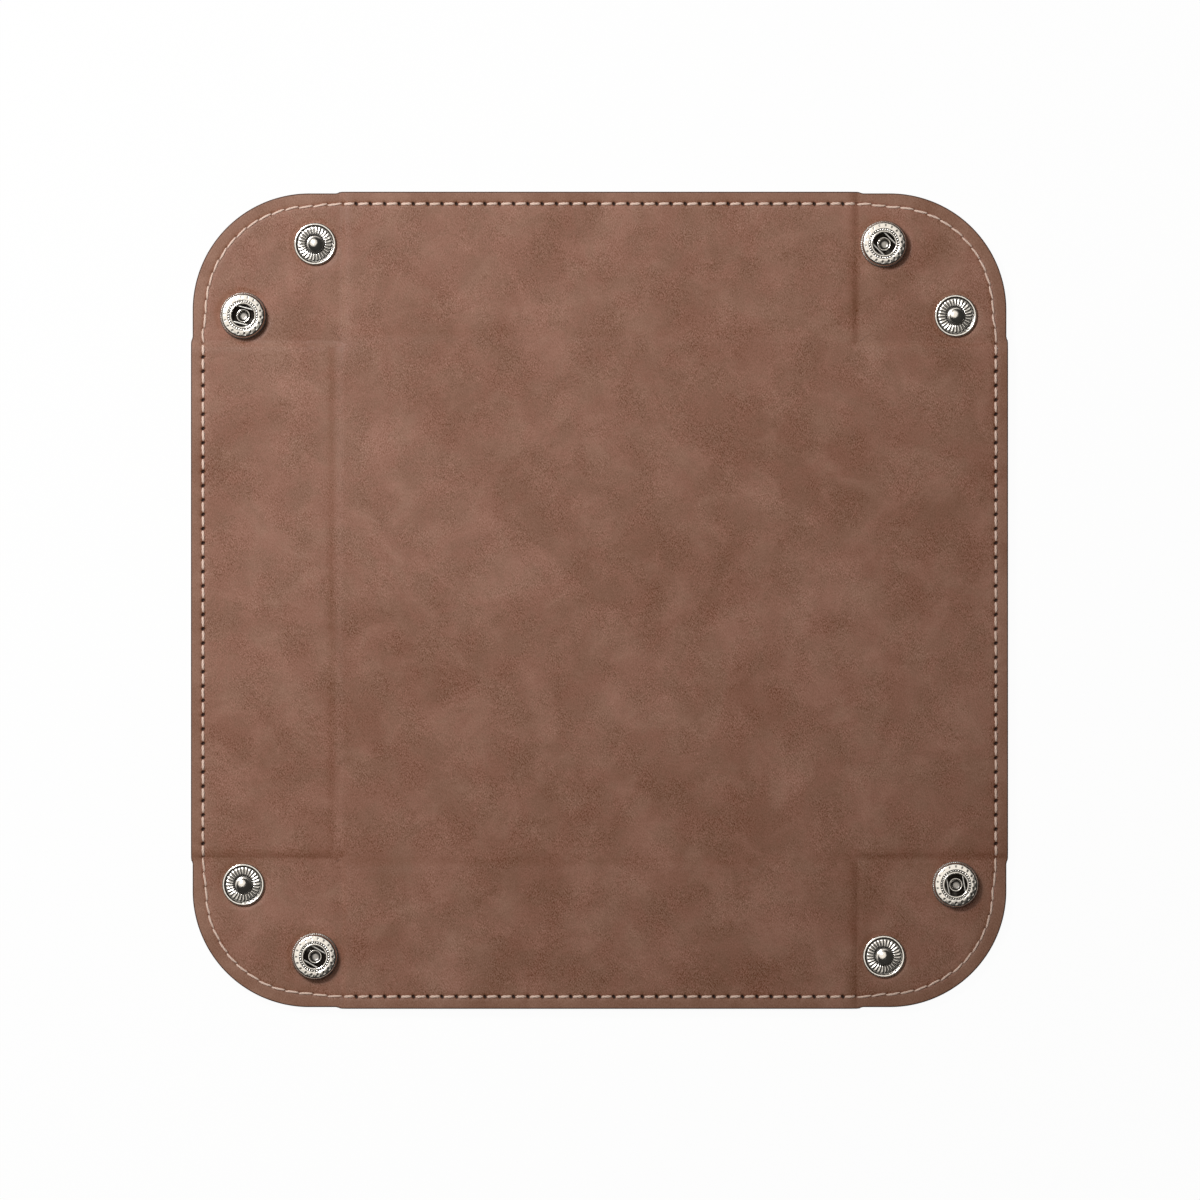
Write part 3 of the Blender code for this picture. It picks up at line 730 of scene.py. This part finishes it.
def bend_half(piece, half, quarters):
    """Bakes an ear half's place into its mesh. It works out the carrier and the ends of the crease
    or the diagonal, but bends nothing.
    """
    side, corner = SIDES[quarters], CORNERS[quarters]
    if half == "socket":
        carrier, middle, step = f"{side}_flap", CREASE, (CREASE_REACH, 0)
    else:
        reach = PINCH_REACH / math.sqrt(2)
        carrier, middle, step = f"{corner}_socket_ear", CENTRE, (reach, -reach)
    start = place_at(quarters, middle - step[0], CENTRE - step[1])
    end = place_at(quarters, middle + step[0], CENTRE + step[1])
    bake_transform(piece)


for quarters, corner in enumerate(CORNERS):
    for half in ("socket", "stud"):
        ear = ear_half(f"{corner}_{half}_ear_leather", half == "stud", quarters)
        bend_half(ear, half, quarters)
        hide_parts(f"{corner}_{half}_ear_inner_skin", f"{corner}_{half}_ear_outer_skin")
        print(ear.name, "faces:", len(ear.data.polygons))

# %% [markdown]
# The floor is a plain square between the four folds. It lies still, so a coarse grid is enough.


# %% Floor
def make_floor():
    reach = FOLD - FOLD_REACH
    near = reach - np.array([0, 0.25, 0.5, 0.8, 1.2]) * MM
    line = np.concatenate([-near, spread(-reach + 3 * MM, reach - 3 * MM, 4 * MM), near[::-1]])
    count = len(line)
    x, y = np.meshgrid(line, line)
    upper = np.dstack([x, y, lie(x, y) + half_thickness(x, y)]).reshape(-1, 3)
    lower = np.dstack([x, y, lie(x, y) - half_thickness(x, y)]).reshape(-1, 3)
    index = np.arange(count * count).reshape(count, count)
    quads = quads_of(index)
    faces = quads.tolist() + (quads[:, ::-1] + count * count).tolist()
    ring = [*index[0, :-1], *index[:-1, -1], *index[-1, :0:-1], *index[:0:-1, 0]]
    for here, there in zip(ring, ring[1:] + ring[:1]):
        faces.append([here, there, there + count * count, here + count * count])
    points = np.vstack([upper, lower])
    piece = new_piece("floor_leather", points, faces, [leather], np.zeros(len(points)))
    rest_map(piece, points[:, :2])
    finish_solid(piece, 50)
    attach(piece, "floor")
    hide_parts("floor_inner_skin", "floor_outer_skin")
    return piece


floor_leather = make_floor()
print("floor faces:", len(floor_leather.data.polygons))

# %% [markdown]
# Where four folds meet at a corner of the floor, real leather bunches up. A padded gusset lies in
# the sheet there, and a round-backed strip in the open crease follows the flap beside the stud.
# Both are out of sight while the tray is flat, and close the corner once the sides stand up.


# %% Corner gussets and crease pads
def add_pad(name, bm, body):
    mesh = bpy.data.meshes.new(name)
    bm.to_mesh(mesh)
    bm.free()
    mesh.materials.append(leather)
    piece = add_object(name, mesh)
    rest_map(piece, np.array([vertex.co[:2] for vertex in mesh.vertices]))
    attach(piece, body)
    return mesh


def in_order(parts, spot):
    """Sorts by place, because a bevel leaves points and faces in an order that varies by run."""
    ranked = sorted(parts, key=lambda part: tuple(spot(part)))
    parts.sort(key=ranked.index)


def make_gusset(corner, quarters):
    bm = bmesh.new()
    width, middle = GUSSET[1] - GUSSET[0], sum(GUSSET) / 2
    centre = place_at(quarters, middle, middle, MID)
    block = Matrix.Translation(centre) @ Matrix.Diagonal((width, width, GUSSET_HEIGHT, 1))
    bmesh.ops.create_cube(bm, size=1, matrix=block)
    outer = place_at(quarters, GUSSET[1], GUSSET[1]).xy
    upright = [e for e in bm.edges if all((v.co.xy - outer).length < 0.1 * MM for v in e.verts)]
    bevel = {"profile": 0.5, "affect": "EDGES"}
    bmesh.ops.bevel(bm, geom=upright, offset=GUSSET_ROUND, segments=6, **bevel)
    sharp = [e for e in bm.edges if e.calc_face_angle() > math.radians(30)]
    bmesh.ops.bevel(bm, geom=sharp, offset=GUSSET_BEVEL, segments=4, **bevel)
    in_order(bm.verts, lambda vert: vert.co)
    in_order(bm.faces, lambda face: face.calc_center_median())
    for face in add_pad(f"{corner}_gusset", bm, "floor").polygons:
        face.use_smooth = True


def make_crease_pad(corner, side, quarters):
    bm = bmesh.new()
    along = Matrix.Rotation(QUARTER_TURN, 4, "Y" if quarters % 2 == 0 else "X")
    centre = place_at(quarters, sum(PAD) / 2, CREASE, MID)
    rod = {"radius1": PAD_RADIUS, "radius2": PAD_RADIUS, "depth": PAD[1] - PAD[0]}
    lying = Matrix.Translation(centre) @ along
    bmesh.ops.create_cone(bm, cap_ends=True, segments=24, matrix=lying, **rod)
    ear_side = place_at(quarters, 0, 1)
    for point, away in ((centre, (0, 0, -1)), (centre - ear_side * PAD_GAP, ear_side)):
        parts = [*bm.verts, *bm.edges, *bm.faces]
        bmesh.ops.bisect_plane(bm, geom=parts, plane_co=point, plane_no=away, clear_outer=True)
        bmesh.ops.holes_fill(bm, edges=[edge for edge in bm.edges if edge.is_boundary])
    for face in add_pad(f"{corner}_crease_pad", bm, f"{side}_flap").polygons:
        face.use_smooth = len(face.vertices) == 4


GUSSET = (CREASE - 1.4 * MM, CREASE + 4.9 * MM)
GUSSET_ROUND = 3.0 * MM
GUSSET_BEVEL = 0.45 * MM
GUSSET_HEIGHT = 1.5 * MM
PAD = (CREASE + 0.9 * MM, CREASE + 5.0 * MM)
PAD_RADIUS = 0.82 * MM
PAD_GAP = 0.06 * MM  # between the pad and the ear
for quarters, corner in enumerate(CORNERS):
    make_gusset(corner, quarters)
    make_crease_pad(corner, SIDES[(quarters + 1) % 4], quarters)
print("gusset from", GUSSET[0], "to", GUSSET[1])

# %% [markdown]
# A stitch is a short length of three-ply thread that comes out of one hole and goes down the next.
# It is swept with a cross-section of three lobes that turns along its length. All the stitches of
# one piece are one mesh, and a flap's stitches are parented to the flap's body.

# %% Stitches
PLIES = 3
chance = np.random.default_rng(7)


def one_stitch(place, start, end, level, sides, steps, slant, wobble, side, cover, thick, sink):
    """A tube of points from start to end along the seam. level gives the leather's height there."""
    tube, shade = [], []
    ply_turn = chance.uniform(0, math.tau)
    shift = chance.normal(0, wobble)
    for step in range(steps + 1):
        share = step / steps
        run = start + (end - start) * (0.5 + cover * (share - 0.5))
        across = slant * (share - 0.5) + shift * math.sin(math.pi * share)
        x, y, turn = place(run, across)
        rise = math.sin(math.pi * share) ** 0.4
        ease = 0.62 + 0.38 * min(1, 4 * share, 4 * (1 - share))
        height = level(x, y) + side * (-sink + (sink + 0.16 * MM) * rise)
        for spoke in range(sides):
            angle = math.tau * spoke / sides
            lobe = math.cos(PLIES * angle - share * 15 - ply_turn)
            radius = thick * ease * (1 + 0.13 * lobe)
            wide, high = radius * math.cos(angle), radius * math.sin(angle) * 0.8
            tube_x, tube_y = x + wide * math.cos(turn), y + wide * math.sin(turn)
            tube.append((tube_x, tube_y, height + side * high))
            shade.append(0.5 * max(0, -lobe) + (0.4 if share in (0, 1) else 0))
    return tube, shade


def stitch_run(name, place, spans, slant, wobble, cover, thick, sink, trim=0.0):
    """The stitches of one piece, on both faces of the sheet. trim shortens the last one below."""
    points, faces, shades = [], [], []
    for side in (1, -1):
        sides, steps = (12, 12) if side > 0 else (8, 8)

        def level(x, y):
            place_x, place_y = np.array([x]), np.array([y])
            here = lie(place_x, place_y) + side * half_thickness(place_x, place_y)
            return float(here[0]) - side * TROUGH_DEPTH

        for start, end in spans:
            slope = slant * chance.uniform(0.6, 1.4)
            if side < 0 and (start, end) == spans[-1]:
                end = end - trim
            tube, shade = one_stitch(
                place, start, end, level, sides, steps, slope, wobble, side, cover, thick, sink
            )
            base = len(points)
            points += tube
            shades += shade
            for step in range(steps):
                ring = base + step * sides
                for spoke in range(sides):
                    here, there = ring + spoke, ring + (spoke + 1) % sides
                    faces.append((here, there, there + sides, here + sides))
            faces.append(list(range(base, base + sides))[::-1])
            faces.append(list(range(len(points) - sides, len(points))))
    piece = new_piece(name, points, faces, [thread], shades)
    finish_solid(piece, 80)
    return piece


def flap_place(run, across, quarters):
    """Where a point of the seam lands, and which way points out of the sheet there."""
    x, y = turned(run, SEAM + across, quarters)
    return x, y, QUARTER_TURN - quarters * QUARTER_TURN


def ear_seam_place(run, across, mirrored, quarters):
    run, across = np.array([run]), np.array([across])
    seam_x, seam_y, _ = ear_place(run, 0 * across, mirrored)
    shift = seam_shift(np.minimum(seam_x, seam_y))
    x, y, turn = ear_place(run, across - shift, mirrored)
    x, y = turned(float(x[0]), float(y[0]), quarters)
    return x, y, float(turn[0]) - quarters * QUARTER_TURN


# How far a stitch slants, how far it strays, its share of the pitch, its radius, and its depth
FLAP_LOOK = (0.12 * MM, 0.03 * MM, 0.80, 0.33 * MM, 0.50 * MM)
EAR_LOOK = (0.26 * MM, 0.08 * MM, 1.0, 0.27 * MM, 0.26 * MM)
LAST_TRIM = 1.3 * MM


def spans_of(start, pitch, count):
    return [(start + n * pitch, start + (n + 1) * pitch) for n in range(count)]


FLAP_SPANS = spans_of(-CREASE, FLAP_PITCH, FLAP_STITCHES)
EAR_SPANS = spans_of(CREASE_REACH, EAR_PITCH, EAR_STITCHES)
HALF_SPANS = {
    "socket": [span for span in EAR_SPANS if sum(span) / 2 < HALFWAY],
    "stud": [(s - HALFWAY, e - HALFWAY) for s, e in EAR_SPANS if (s + e) / 2 >= HALFWAY],
}
stitching = []
for quarters, (side, corner) in enumerate(zip(SIDES, CORNERS)):
    place = functools.partial(flap_place, quarters=quarters)
    stitching.append(stitch_run(f"{side}_flap_stitches", place, FLAP_SPANS, *FLAP_LOOK))
    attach(stitching[-1], f"{side}_flap")
    for half, trim in (("socket", 0.0), ("stud", LAST_TRIM)):
        place = functools.partial(ear_seam_place, mirrored=half == "stud", quarters=quarters)
        name = f"{corner}_{half}_ear_stitches"
        stitching.append(stitch_run(name, place, HALF_SPANS[half], *EAR_LOOK, trim=trim))
        bend_half(stitching[-1], half, quarters)
faces = sum(len(run.data.polygons) for run in stitching)
print("stitches:", len(stitching), "runs,", faces, "faces")

# %% [markdown]
# The snaps are turned parts, so each is one profile spun about its own axis. A profile row is a
# radius, a height, how far the ribs lift it, and how dark painted shade and dirt make it. All four
# corners share the meshes.


# %% Turned metal
def spin(name, rows, sides, wave=None, closed=False):
    """Skins rows of (radius, height, lift, dark), in millimetres, where dark is painted shade and
    dirt.
    wave is 0 to 1 and scales lift. A lift of two numbers is upwards and outwards, and a dark below
    0 is for the gaps alone."""
    points, faces, shades, rings = [], [], [], []
    for radius, height, lift, dark in rows:
        radius, height = radius * MM, height * MM
        up, out = (part * MM for part in (lift if isinstance(lift, tuple) else (lift, 0)))
        if radius == 0:
            rings.append([len(points)])
            points.append((0, 0, height))
            shades.append(dark)
            continue
        ring = []
        for step in range(sides):
            angle = math.tau * step / sides
            share = wave(angle, radius) if wave and (up or out or dark < 0) else 0
            ring.append(len(points))
            reach = radius + out * share
            points.append((reach * math.cos(angle), reach * math.sin(angle), height + up * share))
            shades.append(-dark * (1 - share) if dark < 0 else dark)
        rings.append(ring)
    pairs = list(zip(rings, rings[1:]))
    if closed:
        pairs.append((rings[-1], rings[0]))
    for first, second in pairs:
        for step in range(sides):
            after = (step + 1) % sides
            corners = [first[step % len(first)], first[after % len(first)]]
            corners += [second[after % len(second)], second[step % len(second)]]
            faces.append(list(dict.fromkeys(corners)))
    piece = new_piece(name, points, faces, [nickel], shades)
    finish_solid(piece, 60)
    data = piece.data
    bpy.data.objects.remove(piece)
    return data


def arc(centre_r, centre_z, radius_r, radius_z, start_deg, end_deg, steps):
    """Profile rows along part of an ellipse."""
    turns = np.linspace(math.radians(start_deg), math.radians(end_deg), steps)
    radii, heights = centre_r + radius_r * np.cos(turns), centre_z + radius_z * np.sin(turns)
    return [(radius, height, 0, 0) for radius, height in zip(radii, heights)]


def rib_wave(angle, radius):
    """Round-topped ribs with narrow gaps."""
    return max(0.0, math.cos(28 * angle) * 0.5 + 0.5) ** 0.65


def tooth_wave(angle, radius):
    return abs(((72 * angle / math.tau) % 1) * 2 - 1)


def face_wave(angle, radius):
    """A ring of beads near the mouth, and plain ticks further out."""
    if radius < 4 * MM:
        return max(0.0, math.cos(36 * angle)) ** 0.6
    return 1.0 if math.cos(18 * angle) < 0.7 else 0.0


# The dark values below paint shade into the snaps' hollows: round the stud's bulb, between ribs,
# beads and teeth, and in mouths and bores.
def make_stud():
    rows = [(0, 2.65, 0, 0)]
    for radius in (0.25, 0.5, 0.75, 1.0, 1.25, 1.5, 1.7):
        rows.append((radius, 2.65 - 3.1 + math.sqrt(3.1**2 - radius**2), 0, 0.15 * (radius > 1.3)))
    rows += [(1.9, 2.11, 0, 0.3), (2.03, 2.06, 0, 0.5), (2.08, 2.01, 0, 0.8), (1.98, 1.96, 0, 0.9)]
    rows += [(1.65, 1.71, 0, 0.9), (1.65, 0.75, 0, 0.95)]
    rows += [(1.8, 0.52, 0, 0.9), (2.1, 0.46, 0, 0.75), (2.2, 0.46, 0, -0.8)]
    rows += [(2.3, 0.47, 0.1, -0.75), (2.75, 0.47, 0.15, -0.7), (3.3, 0.46, 0.15, -0.7)]
    rows += [(3.9, 0.45, 0.13, -0.7), (4.18, 0.45, 0.08, -0.7), (4.3, 0.45, 0.0, 0.6)]
    rows += [(4.42, 0.45, 0, 0.7), (4.5, 0.55, 0, 0.4)]
    rows += arc(4.93, 0.58, 0.4, 0.27, 165, 0, 9)
    rows += [(5.33, 0.3, 0, 0.2), (5.3, 0.1, 0, 0.5), (1.35, 0.1, 0, 0.6)]
    rows += [(1.35, 1.9, 0, 0.6), (0, 2.35, 0, 0.6)]
    return spin("stud_shape", rows, 28 * 8, rib_wave)


def make_plate():
    rows = [(1.6, 0.45, 0, 1.0), (1.6, 0.1, 0, 1.0)]
    rows += [(5.6, 0.1, (0, 0.28), -0.9), (5.66, 0.17, (0, 0.28), -0.9)]
    rows += [(5.66, 0.38, (0, 0.28), 0.45), (5.6, 0.45, (0, 0.22), 0.6), (5.5, 0.45, 0, 0.9)]
    rows += [(5.0, 0.45, 0, 1.0)]
    return spin("plate_shape", rows, 72 * 4, tooth_wave, closed=True)


def make_shell():
    rows = [(5.55, 0.55, 0, 0.5), (5.55, 0.9, 0, 0.3), (5.55, 2.0, 0, 0), (5.52, 2.3, 0, 0)]
    rows += [(5.45, 2.52, 0, 0), (5.34, 2.66, 0, 0), (5.2, 2.745, 0, 0), (5.05, 2.8, 0, 0)]
    rows += [(4.95, 2.82, 0, 0), (4.9, 2.795, 0.035, -0.7), (4.42, 2.860, 0.035, -0.7)]
    rows += [(4.36, 2.9, 0, 0), (4.0, 2.93, 0, 0), (3.86, 2.925, 0, 0.1), (3.8, 2.88, 0, 0.6)]
    rows += [(3.7, 2.88, 0.08, -0.75), (3.6, 2.88, 0.11, -0.75), (3.48, 2.88, 0.08, -0.75)]
    rows += [(3.38, 2.88, 0, 0.5)]
    rows += arc(3.1, 2.89, 0.22, 0.1, 12, 165, 8)
    rows += [(2.8, 2.7, 0, 0.9), (2.8, 2.5, 0, 1.0), (5.0, 2.5, 0, 1.0), (5.05, 0.55, 0, 1.0)]
    return spin("shell_shape", rows, 36 * 6, face_wave, closed=True)


def make_cap():
    rows = [(0, -1.4, 0, 0)]
    rows += arc(0, -0.6, 6.25, 0.8, -86, 0, 12)
    rows += [(6.25, -0.25, 0, 0), (6.15, -0.12, 0, 0.3), (1.45, -0.1, 0, 0.5)]
    rows += [(1.9, 1.5, 0, 1.0), (1.9, 1.9, 0, 0.9)]
    rows += arc(1.555, 2.02, 0.345, 0.5, 0, 175, 9)
    rows += [(1.15, 1.75, 0, 1.0), (1.0, 1.62, 0, 0.8), (0.5, 1.6, 0, 0.6), (0, 1.6, 0, 0.5)]
    return spin("cap_shape", rows, 96)


def make_post():
    rows = [(1.05, 3.0, 0, 0.6), (1.05, -0.1, 0, 0.5), (4.9, -0.1, 0, 0.3), (5.0, -0.2, 0, 0)]
    rows += [(5.0, -0.42, 0, 0), (4.93, -0.54, 0, 0), (4.8, -0.6, 0, 0), (1.0, -0.6, 0, 0)]
    rows += [(0.78, -0.52, 0, 0.2), (0.66, -0.3, 0, 0.6), (0.65, 3.0, 0, 0.9)]
    return spin("post_shape", rows, 96, closed=True)


shapes = {"stud": make_stud(), "plate": make_plate(), "shell": make_shell()}
shapes |= {"cap": make_cap(), "post": make_post()}
print("turned faces:", {name: len(shape.polygons) for name, shape in shapes.items()})

# %% [markdown]
# The spring is one hairpin of wire: two straight legs, which grip the stud's neck, and an eye at
# each free end. It is a curve with a round bevel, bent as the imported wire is.


# %% Spring wire
def make_spring(name):
    reach, leg, curl, radius = 4.735 * MM, 2.05 * MM, 0.8 * MM, 0.215 * MM
    leg_end = math.sqrt((reach - curl) ** 2 - (leg + curl) ** 2)
    points = []
    for step in range(13):
        angle = math.pi * step / 12
        points.append((leg + curl + curl * math.cos(angle), leg_end + curl * math.sin(angle)))
    for step in range(17):
        angle = -math.pi * step / 16
        points.append((leg * math.cos(angle), leg * math.sin(angle) - reach + leg))
    points += [(-x, y) for x, y in reversed(points[:13])]
    curve = bpy.data.curves.new(name, "CURVE")
    curve.dimensions = "3D"
    curve.bevel_depth = radius
    curve.bevel_resolution = 4
    curve.use_fill_caps = True
    wire = curve.splines.new("POLY")
    wire.points.add(len(points) - 1)
    for point, (x, y) in zip(wire.points, points):
        point.co = (x, y, 0, 1)
    wire.use_smooth = True
    bend = add_object(name, curve)
    bpy.context.view_layer.update()
    depsgraph = bpy.context.evaluated_depsgraph_get()
    shape = bpy.data.meshes.new_from_object(bend.evaluated_get(depsgraph))
    bpy.data.objects.remove(bend)
    shape.materials.clear()
    shape.materials.append(steel)
    return shape


shapes["spring"] = make_spring("spring_shape")
SPRING_TURNS_DEG = (45, 100, 60, -15)
STUD_TURN_DEG = 7
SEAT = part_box("ne_stud")[0].z - 0.1 * MM
UNDER = ear_box[0].z
WIRE_LEVEL = middle_of("ne_socket_spring").z
# Each shape's level, the half of the ear that carries it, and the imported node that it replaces
SNAP_PIECES = {
    "plate": (SEAT, "socket", "retaining_plate"),
    "shell": (SEAT, "socket", "socket_shell"),
    "spring": (WIRE_LEVEL, "socket", "socket_spring"),
    "cap": (UNDER, "socket", "cap"),
    "stud": (SEAT, "stud", "stud"),
    "post": (UNDER, "stud", "stud_post"),
}
for quarters, corner in enumerate(CORNERS):
    turns = dict.fromkeys(("plate", "shell", "spring"), SPRING_TURNS_DEG[quarters])
    turns["stud"] = STUD_TURN_DEG * quarters
    for shape, (level, half, node) in SNAP_PIECES.items():
        at = SOCKET_AT if half == "socket" else STUD_AT
        piece = add_object(f"{corner}_{shape}_metal", shapes[shape])
        piece.location = place_at(quarters, at.x, at.y, level)
        piece.rotation_euler.z = math.radians(turns.get(shape, 0) - 90 * quarters)
        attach(piece, f"{corner}_{half}_ear")
        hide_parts(f"{corner}_{node}")
print("seat", SEAT, "under", UNDER, "wire", WIRE_LEVEL)

# %% [markdown]
# The tray lies on a white table. The camera sees it as plain white with a trace of shadow: most of
# it glows for the camera alone, and the rest is matt.


# %% Table
def make_table():
    mesh = bpy.data.meshes.new("table")
    mesh.from_pydata([(-3, -3, 0), (3, -3, 0), (3, 3, 0), (-3, 3, 0)], [], [(0, 1, 2, 3)])
    table = add_object("table", mesh)
    table.location.z = -0.02 * MM
    white = new_finish("white_table")
    seen = white.node("LightPath", output="Is Camera Ray")
    matt = white.node("BsdfDiffuse", None, {"Color": (0.86, 0.86, 0.86, 1)})
    glow = white.node("Emission", None, {"Color": (1, 1, 1, 1), "Strength": 1.0})
    mixed = white.node("MixShader", None, {0: seen * TABLE_GLOW, 1: matt, 2: glow})
    white.node("OutputMaterial", None, {"Surface": mixed}, output=None)
    mesh.materials.append(white.owner)
    return table


TABLE_GLOW = 0.965
table = make_table()
print("table at", table.location.z)

# %% [markdown]
# The light is one soft lamp at the upper left, which leaves the lower right dimmer. The sky is dark
# but for a warm soft box near the top, which the metal mirrors. The camera sees only white there.


# %% World and lamp
def make_world():
    world = bpy.data.worlds.new("studio")
    bpy.context.scene.world = world
    sky = Finish(world)
    direction = sky.node("TexCoord", output="Generated")
    leaning = {0: direction, 1: BOX_DIRECTION}
    lean = sky.node("VectorMath", {"operation": "DOT_PRODUCT"}, leaning, output="Value")
    glow = SKY_LOW + sky.ramp(lean, BOX_EDGE, BOX_CORE) * SKY_RISE
    seen = sky.node("LightPath", output="Is Camera Ray")
    grey = sky.node("CombineColor", None, {0: glow, 1: glow, 2: glow})
    warm = sky.blend(1.0, grey, SKY_TINT, "MULTIPLY")
    shade = sky.blend(seen, warm, (1.0, 1.0, 1.0))
    shine = sky.node("Background", None, {"Color": shade, "Strength": 1.0})
    sky.node("OutputWorld", None, {"Surface": shine}, output=None)


def soft_spot(name, place, target, radius, power, cone_deg):
    data = bpy.data.lights.new(name, "SPOT")
    data.shadow_soft_size = radius
    data.energy = power
    data.spot_size = math.radians(cone_deg)
    data.spot_blend = 1.0
    lamp = add_object(name, data)
    lamp.location = place
    lamp.rotation_euler = (Vector(target) - Vector(place)).to_track_quat("-Z", "Y").to_euler()
    lamp.scale = (2.5, 1.0, 1.0)  # a wide oval pool of light
    return lamp


BOX_DIRECTION = tuple(Vector((-0.27, 0.27, 0.924)).normalized())
BOX_EDGE = 0.80
BOX_CORE = 0.88
SKY_TINT = (1.0, 0.95, 0.87)
SKY_LOW = 0.035
SKY_RISE = 1.0
make_world()
LAMP_AT, LAMP_TARGET = (-0.36, 0.36, 0.70), (-0.128, 0.128, 0)
key = soft_spot("key_lamp", LAMP_AT, LAMP_TARGET, radius=0.12, power=21.2, cone_deg=51.0)
print("key lamp watts:", key.data.energy)

# %% [markdown]
# The photograph was taken from straight above with a long lens. Its square frame is 301.4 mm wide
# at the height of the leather, and the sheet's middle lies a hair left of and above its centre.

# %% Camera
FRAME_WIDTH = 0.3014
HEIGHT = 2.0
camera_data = bpy.data.cameras.new("camera")
camera_data.sensor_width = 36
camera_data.lens = camera_data.sensor_width * HEIGHT / FRAME_WIDTH
camera = add_object("camera", camera_data)
camera.location = (0.12 * MM, 0.07 * MM, HEIGHT + MID + EAR_HALF)
bpy.context.scene.camera = camera
bpy.context.scene.view_settings.view_transform = "Standard"
print("lens", round(camera_data.lens, 1), "mm")
